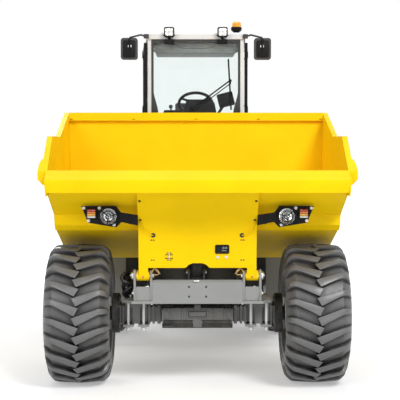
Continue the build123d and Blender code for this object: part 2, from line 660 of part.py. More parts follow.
def skip_shield():
    """Bent front plate with its side flanges, legs and hinge bosses."""
    t = SHIELD_PLATE
    line = [SHIELD_TOP, SHIELD_BEND, SHIELD_BOTTOM]
    back = [(SHIELD_TOP[0] + 14, SHIELD_TOP[1] - 3), (SHIELD_BEND[0] + t, SHIELD_BEND[1] + 5),
            (SHIELD_BOTTOM[0] + t, SHIELD_BOTTOM[1])]
    plate = prism_x(line + back[::-1], -SHIELD_HALF, SHIELD_HALF,
                    ((SHIELD_BEND, SHIELD_CURVE), (back[1], SHIELD_CURVE + t)))
    (yb, zb), deep = SHIELD_BOTTOM, 100
    right = [(112, zb - 13), (70, zb + 27), (38, zb + 39)]
    cuts = prism_y(right + [(-x, z) for x, z in reversed(right)], yb - deep, yb + deep)
    lead_x, lead_z, lead_r = LEAD_HOLE
    for x in (-lead_x, lead_x):
        cuts += rod((x, yb - deep, lead_z), (x, yb + deep, lead_z), lead_r)
    for z in SLOT_ROWS:
        for x in (-SLOT_X - 10, -SLOT_X + 10, SLOT_X - 10, SLOT_X + 10):
            cuts += block(x - 7, x + 7, yb - deep, yb + deep, z - 4.5, z + 4.5)
    x, z = VENT
    for rise, half in VENT_SLOTS:
        cuts += block(x - half, x + half, yb - deep, yb + deep, z + rise - 4, z + rise + 4)
    x, z, wide, high = SOCKET
    cuts += block(x - wide / 2, x + wide / 2, yb - deep, yb + deep, z - high / 2, z + high / 2)
    plate -= cuts
    # side flange up to the chute's underside, then the leg down to the boss
    hy, hz = HINGE
    knee_low = (KNEE[0] - 40, KNEE[1] + 19)
    flange = prism_x([SHIELD_TOP, SHIELD_BEND, SHIELD_BOTTOM, (hy - 44, hz), (hy + 44, hz),
                      (hy + 60, hz + 146), (hy + 210, hz + 281), (HEEL[0] + 40, HEEL[1] - 30),
                      (KNEE[0] + 20, KNEE[1] - 116),
                      (KNEE[0] - 28, KNEE[1] - 70), knee_low, along(KNEE, CHUTE_TOP, 0.12),
                      along(KNEE, CHUTE_TOP, 0.97)],
                     SHIELD_HALF - t, SHIELD_HALF, ((SHIELD_BEND, SHIELD_CURVE),))
    leg = prism_x([SHIELD_BOTTOM, (hy - 42, hz), (hy - 24, hz), (SHIELD_BOTTOM[0] + t, SHIELD_BOTTOM[1]),
                   (SHIELD_BOTTOM[0] + t, SHIELD_BOTTOM[1] + 20), (SHIELD_BOTTOM[0], SHIELD_BOTTOM[1] + 20)],
                  LEG_INNER, SHIELD_HALF)
    boss = rod((EAR_INNER + 6, hy, hz), (EAR_OUTER - 6, hy, hz), HINGE_BOSS_R)
    inner_rib = prism_x([(yb + t, hz + 226), (yb + t, zb), (hy - 40, hz), (hy + 40, hz), (hy + 52, hz + 126),
                         (hy + 150, hz + 246)], LEG_INNER, LEG_INNER + t)
    side = flange + leg + boss + inner_rib
    side -= rod((EAR_INNER - 20, hy, hz), (EAR_OUTER + 20, hy, hz), HINGE_PIN_R + RUN_FIT)
    return plate + both(side)


def tip_bracket():
    """Ears under the chute on either side of the tipping cylinder's eye, with the ends of its pin."""
    ey, ez = TIP_EYE
    floor_z = HEEL[1] + (ey - HEEL[0]) * (FLOOR_FRONT[1] - HEEL[1]) / (FLOOR_FRONT[0] - HEEL[0])
    run = 130
    drop = (FLOOR_FRONT[1] - HEEL[1]) / (FLOOR_FRONT[0] - HEEL[0])
    ear = prism_x([(ey - 36, floor_z - 36 * drop), (ey - 40, ez - 20), (ey - 20, ez - 42),
                   (ey + 20, ez - 42), (ey + 42, ez - 18), (ey + run, floor_z + run * drop)], 54, 72)
    ear += rod((72, ey, ez), (90, ey, ez), TIP_PIN_R + 10)
    return both(ear)


def headlamp_brackets():
    x, y, z = LAMP_AT
    near, far = y - LAMP_BRACKET, y + LAMP_BRACKET
    plate = prism_y([(x + 220, z + 82), (x - 59, z + 82), (x - 98, z + 30), (x - 103, z - 48),
                     (x - 60, z - 91), (x + 166, z - 54)], near, far)
    top, low = z + 8, z - 76
    arm = prism_y([(x - 94, z + 30), (SHIELD_HALF, top), (SHIELD_HALF, low), (x - 102, z - 48)], near, far)
    foot = block(SHIELD_HALF, SHIELD_HALF + 10, near, y + 70, low, top)
    return both(plate + arm + foot)


def headlamps():
    """Bucket with a bezel and a set-back lens, behind a guard of rings and spokes."""
    x, y, z = LAMP_AT
    r = LAMP_R
    bezel = [(30, r), (44, r - 3), (44, r - 12), (36, r - 13)]
    lamp = revolve(make_face(Polyline((0, 0), (0, r), *bezel, (42, r / 2), (42, 0), close=True)), Axis.X)
    lamp += rod((40, 0, 0), (54, 0, 0), 7)
    for ring in GUARD_RINGS:
        bar = [(48, ring - 3), (48, ring + 3), (52, ring + 3), (52, ring - 3)]
        lamp += revolve(make_face(Polyline(*bar, close=True)), Axis.X)
    for angle in GUARD_SPOKES:
        turn = Rot(angle, 0, 0)
        lamp += turn * (block(47, 53, 0, r - 4, -3, 3) + block(40, 53, r - 10, r - 4, -3, 3))
    return both(Pos(x, y - LAMP_BRACKET, z) * Rot(0, 0, -90) * lamp)


def lens_row(x0, x1, z0, z1, back, front, count, upright):
    """Lamp housing with a row of lens bars, side by side or one above the other."""
    edge, gap = 5, 3
    step = -1 if front < back else 1
    case = block(x0, x1, *sorted((back, front - step * 12)), z0, z1)
    low, high = (z0 + edge, z1 - edge) if upright else (x0 + edge, x1 - edge)
    pitch = (high - low + gap) / count
    near, far = sorted((front - step * 18, front))
    for i in range(count):
        a, b = low + i * pitch, low + (i + 1) * pitch - gap
        if upright:
            case += block(x0 + edge, x1 - edge, near, far, a, b)
        else:
            case += block(a, b, near, far, z0 + edge, z1 - edge)
    return both(case)


def indicators():
    back = LAMP_AT[1] - LAMP_BRACKET
    return lens_row(*INDICATOR, back, back - 38, INDICATOR_BARS, True)


# Rear body

def counterweight():
    half = WEIGHT_HALF
    body = prism_z([(-half, WEIGHT_FRONT), (half, WEIGHT_FRONT), (half, TAIL - 90), (half - 110, TAIL - 30),
                    (170, TAIL - 30), (150, TAIL), (-150, TAIL), (-170, TAIL - 30), (-half + 110, TAIL - 30),
                    (-half, TAIL - 90)], WEIGHT_Z[0], WEIGHT_Z[1])
    body -= block(-110, 110, TAIL - 110, TAIL + 10, *JAW_Z)
    body -= rod((0, TOW_PIN_Y, WEIGHT_Z[0] - 60), (0, TOW_PIN_Y, WEIGHT_Z[1] + 60), TOW_PIN_R)
    x0, x1, z0, z1 = REAR_LAMP
    return body - both(block(x0 - 6, x1 + 6, TAIL - 60, TAIL, z0 - 6, z1 + 6))


def rear_lamps():
    return lens_row(*REAR_LAMP, TAIL - 60, TAIL - 22, 3, False)


def engine():
    half, y0, y1 = ENGINE_HALF, HOOD_FRONT + 170, WEIGHT_FRONT - 20
    sump = block(-half + 68, half - 68, y0 - 80, y1 - 100, CROSS_Z[1], REAR_RAIL_Z[1])
    return sump + block(-half, half, y0, y1, REAR_RAIL_Z[1], ENGINE_TOP)


def hood():
    """Hollow lid open at the front and below, with louvres cut through."""
    f, b, w = HOOD_FRONT, HOOD_BACK, HOOD_WALL
    (z0, z1), zt = HOOD_Z, HOOD_TAIL_Z

    def shape(grow):
        foot = z0 if grow == 0 else z0 - 50
        knee = f + 0.27 * (b - f)
        side = prism_x([(f, foot), (f, z1 + grow), (knee, z1 + grow), (b - 110 + grow, zt + grow),
                        (b + grow, zt - 130 + grow), (b + grow, foot)], -SPAN, SPAN)
        plan = prism_z([(-HOOD_HALF[0] - grow, f), (HOOD_HALF[0] + grow, f), (HOOD_HALF[1] + grow, b + 20),
                        (-HOOD_HALF[1] - grow, b + 20)], z0 - 100, z1 + 100)
        return side & plan
    shell = shape(0) - shape(-w)
    slots = None
    for i in range(SIDE_LOUVRES):
        z = z0 + 185 + i * LOUVRE_PITCH
        slot = block(HOOD_HALF[1] - 100, HOOD_HALF[0] + 100, f + 310, b - 210, z, z + LOUVRE)
        slots = slot if slots is None else slots + slot
    shell -= both(slots)
    for i in range(TAIL_LOUVRES):
        z = z0 + 95 + i * LOUVRE_PITCH
        shell -= block(-HOOD_HALF[1] + 140, HOOD_HALF[1] - 140, b - 60, b + 60, z, z + LOUVRE)
    hy, hz = f + HOOD_HINGE, z1 + HOOD_HINGE
    knuckle = rod((300, hy, hz), (380, hy, hz), 16)
    knuckle += block(300, 380, f, f + 60, z1 - 4, z1 + 8)
    knuckle -= rod((290, hy, hz), (390, hy, hz), 8.05)
    return shell + both(knuckle)


def side_tanks():
    (x0, x1), (y0, y1), (z0, z1) = TANK_X, TANK_Y, TANK_Z
    tank = block(x0, x1, y0, y1, z0, z1)
    tank = fillet(tank.edges().filter_by(Axis.Y), 40)
    # room for the steering cylinder
    tank -= block(x0 - 50, x0 + 50, y0 - 60, y0 + 335, z0 - 50, REAR_RAIL_Z[1])
    return both(tank)


def access_steps():
    x0, (y0, y1) = TANK_X[1], STEP_Y
    (low, reach_low), (high, reach_high) = TREADS[0], TREADS[-1]
    side = block(x0, x0 + 12, y0, y1, low, high + TREAD)
    for z, reach in TREADS:
        side += block(x0, reach, y0, y1, z, z + TREAD)
    for y in (y0, y1 - 12):
        cheek = [(x0, low), (reach_low, low), (reach_high, high + TREAD), (x0, high + TREAD)]
        side += prism_y(cheek, y, y + 12)
    return both(side)


def upper_steps():
    y, z = TANK_Y[0], TANK_Z[1]
    return both(block(CAB_BASE_HALF + 5, TANK_X[1] + 8, y + 100, y + 360, z, z + 60))


def mudguards():
    def arc_point(radius, angle):
        return REAR_AXLE - radius * cos(radians(angle)), AXLE_Z + radius * sin(radians(angle))

    start, stop = GUARD_ARC
    ends = []
    for radius in (GUARD_R, GUARD_R + GUARD_WALL):
        ends.append([arc_point(radius, angle) for angle in (start, (start + stop) / 2, stop)])
    inner, outer = ends
    sheet = make_face([ThreePointArc(*inner), Line(inner[2], outer[2]),
                       ThreePointArc(*outer), Line(outer[0], inner[0])])
    sheet = extrude(Pos(GUARD_X[0], 0, 0) * (Plane.YZ * sheet), GUARD_X[1] - GUARD_X[0], dir=(1, 0, 0))
    top = AXLE_Z + GUARD_R + GUARD_WALL
    bracket = block(CAB_BASE_HALF, GUARD_X[0] + 188, REAR_AXLE - 60, REAR_AXLE + 60, top - 6, top + 30)
    return both(sheet + bracket)


def cab_base():
    half, front, wall = CAB_BASE_HALF, CAB_FRONT - 10, CAB_BASE_WALL
    body = block(-half, half, front, CAB_BACK, REAR_RAIL_Z[1], CAB_FLOOR_Z[0])
    return body - block(-half + wall, half - wall, front + wall, CAB_BACK - wall, REAR_RAIL_Z[1] + wall,
                        CAB_FLOOR_Z[0] - wall)


# Cab

def cab_plan(grow):
    a, b = CAB_FRONT_HALF + grow, CAB_BACK_HALF + grow
    f, m, r = CAB_FRONT - grow, CAB_PILLAR_B + 25, CAB_BACK + grow
    return [(-a, f), (a, f), (b, m), (b, r), (-b, r), (-b, m)]


def cab_floor():
    floor = prism_z(cab_plan(0), CAB_FLOOR_Z[0], CAB_FLOOR_Z[1])
    return floor + block(-190, 190, SEAT_Y[0] + 60, SEAT_Y[1] - 10, CAB_FLOOR_Z[1], SEAT_Z[0])


def cab_frame():
    t = PILLAR
    frame = prism_z(cab_plan(0), CAB_FLOOR_Z[1], SILL_TOP) + prism_z(cab_plan(0), HEADER_Z, CAB_EAVES)
    frame -= prism_z(cab_plan(-t), CAB_FLOOR_Z[1] - 1, CAB_EAVES + 1)
    a, b = CAB_FRONT_HALF, CAB_BACK_HALF
    slope = (b - a) / (CAB_PILLAR_B + 25 - CAB_FRONT)
    post = prism_z([(a - 45, CAB_FRONT), (a, CAB_FRONT), (a + 80 * slope, CAB_FRONT + 80),
                    (a - 45, CAB_FRONT + 80)], SILL_TOP - 10, HEADER_Z + 5)
    m = CAB_PILLAR_B
    post += prism_z([(b - t, m - 40), (b - 65 * slope, m - 40), (b, m + 25), (b, m + 40), (b - t, m + 40)],
                    SILL_TOP - 10, HEADER_Z + 5)
    post += block(b - t, b, CAB_BACK - 70, CAB_BACK, SILL_TOP - 10, HEADER_Z + 5)
    # hinge plates and pins of the door
    hx = b + HINGE_OUT
    for z in HINGE_Z:
        for edge in (z - 48, z + 34):
            post += block(b - 2, hx + 14, m - 12, m + 30, edge, edge + 14)
        post += rod((hx, m + 8, z - 40), (hx, m + 8, z + 40), 9)
    # hood hinge: plates and pin on the rear panel
    hood_y, hood_z = HOOD_FRONT + HOOD_HINGE, HOOD_Z[1] + HOOD_HINGE
    for x in (288, 384):
        post += block(x, x + 8, CAB_BACK - 2, hood_y, hood_z - 12, hood_z + 12)
        post += rod((x, hood_y, hood_z), (x + 8, hood_y, hood_z), 12)
    post += rod((288, hood_y, hood_z), (392, hood_y, hood_z), 8)
    frame += both(post)
    return frame + block(-b + t, b - t, CAB_BACK - t, CAB_BACK, SILL_TOP - 10, REAR_SILL_TOP)


def cab_roof():
    roof = prism_z(cab_plan(ROOF_LIP), CAB_EAVES, ROOF_TOP)
    return chamfer(roof.faces().sort_by(Axis.Z)[-1].edges(), 16)


def windscreen():
    half = CAB_FRONT_HALF - 45
    return block(-half, half, CAB_FRONT + 8, CAB_FRONT + 8 + GLASS, SILL_TOP, HEADER_Z)


def rear_windows():
    half = CAB_BACK_HALF - PILLAR
    pane = block(-half, half, CAB_BACK - 24, CAB_BACK - 24 + GLASS, REAR_SILL_TOP, HEADER_Z)
    x = CAB_BACK_HALF - 14
    side = block(x - GLASS, x, CAB_PILLAR_B + 40, CAB_BACK - 70, SILL_TOP, HEADER_Z)
    return pane + both(side)


def door_plane():
    """Front and rear corner of the left door's inner face, as x, y."""
    a, b = CAB_FRONT_HALF, CAB_BACK_HALF
    return (a + DOOR_GAP, CAB_FRONT + 4), (b + DOOR_GAP, CAB_PILLAR_B - 16)


def door_outline(inset_front, inset_back, out0, out1):
    p, q = door_plane()
    size = hypot(q[0] - p[0], q[1] - p[1])
    ux, uy = (q[0] - p[0]) / size, (q[1] - p[1]) / size
    nx, ny = uy, -ux
    a = (p[0] + ux * inset_front, p[1] + uy * inset_front)
    b = (q[0] - ux * inset_back, q[1] - uy * inset_back)
    return [(a[0] + nx * out0, a[1] + ny * out0), (b[0] + nx * out0, b[1] + ny * out0),
            (b[0] + nx * out1, b[1] + ny * out1), (a[0] + nx * out1, a[1] + ny * out1)]


def door_frame():
    z0, z1 = DOOR_Z
    panel = prism_z(door_outline(0, 0, 0, DOOR_THICK), z0, z1)
    panel -= prism_z(door_outline(DOOR_FRAME, DOOR_FRAME, -20, DOOR_THICK + 20), z0 + 110, z1 - DOOR_FRAME)
    hx, hy = CAB_BACK_HALF + HINGE_OUT, CAB_PILLAR_B + 8
    for z in HINGE_Z:
        arm = rod((hx, hy, z - 32), (hx, hy, z + 32), 17)
        arm += block(hx - 8, hx + 10, hy - 60, hy, z - 32, z + 32)
        arm -= rod((hx, hy, z - 60), (hx, hy, z + 60), 9.05)
        panel += arm
    return panel


def door_glass():
    z0, z1 = DOOR_Z
    return prism_z(door_outline(DOOR_FRAME, DOOR_FRAME, 12, 12 + GLASS), z0 + 110, z1 - DOOR_FRAME)


def wheel_place():
    return Pos(0, *WHEEL_AT) * Rot(-WHEEL_TILT, 0, 0)


def dashboard():
    z0 = CAB_FLOOR_Z[1]
    dash = prism_y([(-330, z0), (230, z0), (230, 2200), (185, 2420), (150, 2455), (-90, 2455), (-120, 2350),
                    (-310, 2350), (-330, 2300)], *DASH_Y)
    return dash - wheel_place() * rod((0, 0, 0), (0, 0, -COLUMN), COLUMN_R + 0.1)


def display_box():
    y = DASH_Y[1]
    box = Pos(303, y + 40, 2460) * Rot(0, -14, 0) * fillet(Box(160, 50, 140).edges().filter_by(Axis.Y), 14)
    return box + rod((285, y + 40, 2410), (200, y + 16, 2280), 14) + block(180, 218, y, y + 26, 2250, 2300)


def steering_wheel():
    ring = Torus(WHEEL_R, 15)
    for a in (90, 210, 330):
        ring += rod((0, 0, 0), (WHEEL_R * cos(radians(a)), WHEEL_R * sin(radians(a)), 0), 12)
    ring += Cylinder(44, 34)
    ring += rod((0, 0, 0), (0, 0, -COLUMN), COLUMN_R)
    return wheel_place() * ring


def seat():
    (y0, y1), (z0, z1) = SEAT_Y, SEAT_Z
    base = block(-SEAT_HALF, SEAT_HALF, y0, y1, z0, z1)
    base = fillet(base.edges().filter_by(Axis.Y), 30)
    low, top = z1 - 15, SEAT_BACK_TOP
    wide = SEAT_HALF - 10
    back = prism_x([(y1 - 60, low), (y1 + 10, top), (y1 + 95, top), (y1 + 70, low)], -wide, wide)
    return base + back


def mirrors():
    x, y, z = MIRROR_AT
    w, d, h = MIRROR
    head = block(x - w / 2, x + w / 2, y - d / 2, y + d / 2, z - h / 2, z + h / 2)
    head = fillet(head.edges().filter_by(Axis.Y), 26)
    top = z + h / 2
    side, ahead, eaves = CAB_FRONT_HALF, CAB_FRONT - ROOF_LIP, CAB_EAVES
    line = [(side + 26, ahead - 12, eaves + 28), (side + 66, ahead - 26, eaves + 40),
            (x - 8, y, top + 6), (x - 4, y, top - 30)]
    arm = block(side - 10, side + 38, ahead - 24, ahead, eaves + 6, eaves + 48)
    for p, q in zip(line, line[1:]):
        arm += rod(p, q, MIRROR_ARM_R)
    return both(head + arm)


def wiper():
    y = CAB_FRONT + 4
    arm = rod((-43, y - 10, 2357), (346, y - 12, 2645), 7) + rod((-20, y - 10, 2340), (346, y - 12, 2612), 5)
    arm += rod((-43, y + 4, 2357), (-43, y - 22, 2357), 20)
    blade = rod((318, y - 12, 2846), (346, y - 12, 2350), 8)
    return arm + blade + rod((346, y - 18, 2645), (332, y - 10, 2600), 8)


def work_lights():
    s = LIGHT_SIZE / 2
    y, z = CAB_FRONT, CAB_EAVES
    lamp = block(LIGHT_X - s, LIGHT_X + s, y - 85, y - 20, z + 17, z + 112)
    lamp = fillet(lamp.edges().filter_by(Axis.Y), 16)
    foot = block(LIGHT_X - s, LIGHT_X + s, y - 50, y, z - 51, z - 7)
    stem = block(LIGHT_X - 12, LIGHT_X + 12, y - 50, y - 26, z - 18, z + 32)
    return both(lamp + foot + stem)


def beacon():
    x, y = BEACON_AT
    foot = ROOF_TOP + BEACON_FOOT
    body = rod((x, y, ROOF_TOP), (x, y, foot), BEACON_R - 4)
    dome = rod((x, y, foot), (x, y, BEACON_TOP), BEACON_R)
    return body + fillet(dome.edges().group_by(Axis.Z)[-1], 28)


def nodes():
    out = {}
    by, bz = TIP_BASE
    ey, ez = TIP_EYE
    tip = cylinder((0, by, bz), (0, ey, ez), TIP_BARREL_R, TIP_ROD_R, TIP_PIN_R,
                   2 * TIP_EAR_IN - 8, TIP_EYE_WIDTH, 130, 0)
    (sx, sy), (fx, fy) = STEER_BASE, STEER_EYE
    steer = cylinder((sx, sy, STEER_Z), (fx, fy, STEER_Z), STEER_BARREL_R, STEER_ROD_R, STEER_PIN_R,
                     78, 48, STEER_STROKE + 60, STEER_STROKE)
    rubber, disc = tyre(), rim()
    corners = {"front_left": (1, FRONT_AXLE), "front_right": (-1, FRONT_AXLE),
               "rear_left": (1, REAR_AXLE), "rear_right": (-1, REAR_AXLE)}
    for name, (side, y) in corners.items():
        place = Pos(side * TRACK / 2, y, AXLE_Z)
        out["tyre_" + name] = place * rubber
        out["rim_" + name] = place * (disc if side > 0 else mirror(disc, Plane.YZ))
    out.update({
        "front_chassis": front_chassis(), "front_pins": front_pins(),
        "front_axle": axle(FRONT_AXLE, 1), "front_axle_clamps": clamps(FRONT_AXLE),
        "front_shaft": shaft(FRONT_AXLE + 300, PIVOT - 45),
        "skip_floor": skip_floor(), "skip_beam": skip_beam(), "skip_back": skip_back(),
        "skip_sides": skip_sides(), "skip_lip": skip_lip(), "skip_shield": skip_shield(),
        "headlamp_brackets": headlamp_brackets(), "headlamps": headlamps(), "indicators": indicators(),
        "tip_barrel": tip[0], "tip_rod": tip[1], "steer_barrel": steer[0], "steer_rod": steer[1],
        "rear_chassis": rear_chassis(), "steer_pin": steer_pin(),
        "rear_axle": axle(REAR_AXLE, -1), "rear_axle_clamps": clamps(REAR_AXLE),
        "rear_shaft": shaft(PIVOT + 45, REAR_AXLE - 300),
        "counterweight": counterweight(), "rear_lamps": rear_lamps(), "engine": engine(), "hood": hood(),
        "side_tanks": side_tanks(), "access_steps": access_steps() + upper_steps(),
        "mudguards": mudguards(), "cab_base": cab_base(), "cab_floor": cab_floor(), "cab_frame": cab_frame(),
        "cab_roof": cab_roof(), "windscreen": windscreen(), "rear_windows": rear_windows(),
        "door_left": door_frame(), "door_right": mirror(door_frame(), Plane.YZ),
        "door_glass_left": door_glass(), "door_glass_right": mirror(door_glass(), Plane.YZ),
        "dashboard": dashboard(), "display_box": display_box(), "steering_wheel": steering_wheel(),
        "operator_seat": seat(), "mirrors": mirrors(), "wiper": wiper(), "work_lights": work_lights(),
        "beacon": beacon(),
    })
    return out


def main():
    os.makedirs("parts", exist_ok=True)
    for name, shape in nodes().items():
        export_step(shape, "parts/" + name + ".step")


if __name__ == "__main__":
    main()
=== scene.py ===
"""Looks of a site dumper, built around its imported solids. Lengths are metres in the part's own frame:
X to the machine's left, Y to its rear, Z up, with the origin on the floor under its middle."""
import math

import bmesh
import bpy
from mathutils import Matrix, Vector


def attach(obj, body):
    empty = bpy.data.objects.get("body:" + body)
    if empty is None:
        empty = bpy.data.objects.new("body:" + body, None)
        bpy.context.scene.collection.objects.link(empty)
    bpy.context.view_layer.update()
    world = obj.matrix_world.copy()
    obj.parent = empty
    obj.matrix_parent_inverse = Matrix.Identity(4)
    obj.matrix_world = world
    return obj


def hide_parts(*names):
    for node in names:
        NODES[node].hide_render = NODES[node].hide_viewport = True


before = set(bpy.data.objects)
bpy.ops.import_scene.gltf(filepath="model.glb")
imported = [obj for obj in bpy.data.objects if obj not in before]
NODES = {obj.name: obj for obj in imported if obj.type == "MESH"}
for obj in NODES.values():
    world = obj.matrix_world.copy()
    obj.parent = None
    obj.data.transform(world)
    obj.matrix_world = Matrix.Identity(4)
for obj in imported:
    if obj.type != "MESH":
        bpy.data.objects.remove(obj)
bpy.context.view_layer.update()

AHEAD = (0.0, -1.0, 0.0)
ASTERN = (0.0, 1.0, 0.0)
UP = (0.0, 0.0, 1.0)
SIDES = ((1, "left"), (-1, "right"))

# Camera
IMAGE = 400                       # pixels on each side of the picture
FOCAL = 1150.7                    # pixels
CAMERA_AT = (-0.081, -11.275, 2.006)
PITCH_DOWN = math.radians(2.74)
YAW = math.radians(0.617)         # towards the machine's left

# Colours, as linear RGB
YELLOW = (0.95, 0.635, 0.004)
CHASSIS_GREY = (0.27, 0.28, 0.28)
CAB_GREY = (0.70, 0.71, 0.72)
RIM_GREY = (0.44, 0.45, 0.45)
AXLE_GREY = (0.20, 0.203, 0.205)
DRIVE_BLACK = (0.012, 0.012, 0.013)
RUBBER = (0.125, 0.125, 0.127)
PLASTIC = (0.007, 0.007, 0.0075)
WEIGHT_GREY = (0.17, 0.175, 0.18)
AMBER = (0.95, 0.26, 0.01)
RED = (0.55, 0.012, 0.010)
TAN = (0.52, 0.33, 0.14)
PAINT_DUST = (0.34, 0.30, 0.24)
CASTING_DUST = (0.30, 0.27, 0.22)
# near-black colour painted into shut-in corners as shade
PAINTED_SHADE_BLACK = (0.010, 0.010, 0.010)

# Wheels
FRONT_AXLE = -1.575
REAR_AXLE = 1.025
AXLE_Z = 0.586
TRACK = 1.970
TYRE_R = 0.586
LUGS = 23                         # on each half of the tread
LUG_FIRST = -math.pi / 2 - 0.030 / TYRE_R
# lug rows from the nose to the foot: lower edge's x and rise round the tread, upper edge's x and rise,
# radius of the top, radius of the root inside the carcass
LUG_ROWS = ((0.006, -0.036, -0.030, 0.030, 0.5860, 0.540), (0.069, -0.004, 0.045, 0.056, 0.5824, 0.537),
            (0.133, 0.028, 0.121, 0.082, 0.5787, 0.533), (0.180, 0.052, 0.177, 0.1015, 0.5758, 0.529),
            (0.204, 0.060, 0.204, 0.108, 0.5695, 0.520), (0.224, 0.061, 0.224, 0.108, 0.5530, 0.495),
            (0.240, 0.062, 0.240, 0.108, 0.5365, 0.474), (0.248, 0.0625, 0.248, 0.108, 0.5210, 0.462),
            (0.255, 0.063, 0.255, 0.108, 0.4950, 0.450), (0.262, 0.0635, 0.262, 0.108, 0.4675, 0.440),
            (0.2675, 0.064, 0.2675, 0.108, 0.4460, 0.430))
LUG_DRAFT = 0.004                 # lug wider at its root, on each side
# carcass from the middle of the tread to the bead: x, radius
CARCASS = ((0.0, 0.5475), (0.08, 0.5460), (0.15, 0.5410), (0.190, 0.5360), (0.206, 0.5230), (0.222, 0.5025),
           (0.238, 0.4820), (0.254, 0.4610), (0.264, 0.4455), (0.2675, 0.4360), (0.2660, 0.4240),
           (0.2620, 0.4220), (0.2605, 0.4080), (0.2615, 0.4050), (0.2590, 0.3900), (0.2550, 0.3880),
           (0.2520, 0.3700), (0.2485, 0.3515), (0.2360, 0.3380), (0.2150, 0.3180), (0.2040, 0.3070),
           (0.1950, 0.3025), (0.1950, 0.2856))
WHEEL_NUTS = 10
NUT_CIRCLE = 0.140
CORNERS = {"front_left": (1, FRONT_AXLE), "front_right": (-1, FRONT_AXLE),
           "rear_left": (1, REAR_AXLE), "rear_right": (-1, REAR_AXLE)}


# Node building blocks

def plug(socket, value):
    """Sets an input to a value, or links it to a socket or to a node's first output."""
    if isinstance(value, bpy.types.Node):
        value = value.outputs[0]
    if isinstance(value, bpy.types.NodeSocket):
        socket.id_data.links.new(value, socket)
    else:
        socket.default_value = value


def feed(node, **inputs):
    """Plugs a node's named inputs, with _ for a space in a name."""
    for name, value in inputs.items():
        plug(node.inputs[name.replace("_", " ")], value)
    return node


def add_node(tree, kind, **inputs):
    return feed(tree.nodes.new(kind), **inputs)


def calc(tree, operation, a, b):
    node = tree.nodes.new("ShaderNodeMath")
    node.operation = operation
    plug(node.inputs[0], a)
    plug(node.inputs[1], b)
    return node


def new_finish(name):
    mat = bpy.data.materials.new(name)
    mat.use_nodes = True
    tree = mat.node_tree
    return mat, tree, tree.nodes["Principled BSDF"]


def object_place(tree):
    return tree.nodes.new("ShaderNodeTexCoord").outputs["Object"]


def noise(tree, scale, detail=4.0, roughness=0.55):
    return add_node(tree, "ShaderNodeTexNoise", Scale=scale, Detail=detail, Roughness=roughness,
                    Vector=object_place(tree))


def spread(tree, value, low, high, to_low, to_high):
    """value carried from low..high to to_low..to_high, clamped."""
    return add_node(tree, "ShaderNodeMapRange", Value=value, From_Min=low, From_Max=high, To_Min=to_low,
                    To_Max=to_high)


def tint(colour, factor):
    return tuple(c * factor for c in colour)


def blend(tree, share, first, second):
    """Mix of two colours; each is an RGB triple or a socket."""
    node = tree.nodes.new("ShaderNodeMix")
    node.data_type = "RGBA"
    feed(node, Factor=share)
    for socket, colour in ((node.inputs[6], first), (node.inputs[7], second)):
        plug(socket, (*colour, 1.0) if isinstance(colour, tuple) else colour)
    return node.outputs[2]


def rounded_normal(tree, radius):
    node = add_node(tree, "ShaderNodeBevel", Radius=radius)
    node.samples = 4
    return node


def bump(tree, height, strength, distance, normal=None):
    node = add_node(tree, "ShaderNodeBump", Height=height, Strength=strength, Distance=distance)
    if normal is not None:
        feed(node, Normal=normal)
    return node


def corner_shade(tree, reach):
    """1 in the open and towards 0 in corners and grooves closer than reach."""
    node = add_node(tree, "ShaderNodeAmbientOcclusion", Distance=reach)
    node.samples = 8
    node.only_local = True
    return node.outputs["AO"]


def edge_mask(tree, normal, grain):
    """1 along sharp edges, broken up by grain, and 0 on flats."""
    dot = tree.nodes.new("ShaderNodeVectorMath")
    dot.operation = "DOT_PRODUCT"
    plug(dot.inputs[0], normal)
    plug(dot.inputs[1], tree.nodes.new("ShaderNodeNewGeometry").outputs["Normal"])
    edge = spread(tree, dot.outputs["Value"], 0.995, 0.86, 0.0, 1.0)
    return calc(tree, "MULTIPLY", edge, spread(tree, grain, 0.48, 0.66, 0.0, 1.0))


def low_mask(tree, top, bottom):
    """0 above top and 1 below bottom."""
    split = add_node(tree, "ShaderNodeSeparateXYZ", Vector=object_place(tree))
    return spread(tree, split.outputs["Z"], top, bottom, 0.0, 1.0)


# Finishes

def paint(name, colour, rough, coat, shine, dust_top, wear, painted_shade_reach=0.0):
    """Sprayed paint: faint orange peel, dust low down and worn edges. wear is the colour under the paint.

    Painted shade darkens towards black what is shut in by walls closer than the reach given."""
    mat, tree, shader = new_finish(name)
    edges = rounded_normal(tree, 0.004)
    cloud = noise(tree, 1.7, 5.0)
    tone = blend(tree, spread(tree, cloud, 0.35, 0.65, 0.0, 1.0), colour, tint(colour, 0.90))
    grit = noise(tree, 9.0, 8.0, 0.68)
    dust = calc(tree, "MULTIPLY", low_mask(tree, dust_top, 0.2), spread(tree, grit, 0.40, 0.72, 0.0, 0.38))
    tone = blend(tree, dust, tone, PAINT_DUST)
    worn = edge_mask(tree, edges, noise(tree, 38.0, 6.0, 0.7))
    tone = blend(tree, calc(tree, "MULTIPLY", worn, 0.55), tone, wear)
    # painted shade: what nearby walls shut in is darkened towards black
    if painted_shade_reach:
        shut_in = spread(tree, corner_shade(tree, painted_shade_reach), 0.30, 0.72, 0.95, 0.0)
        tone = blend(tree, shut_in, tone, PAINTED_SHADE_BLACK)
    feed(shader, Base_Color=tone, Roughness=spread(tree, grit, 0.3, 0.7, rough - 0.05, rough + 0.10),
         Coat_Weight=coat, Coat_Roughness=0.12, Specular_IOR_Level=shine,
         Normal=bump(tree, noise(tree, 420.0, 2.0), 0.06, 0.001, edges))
    return mat


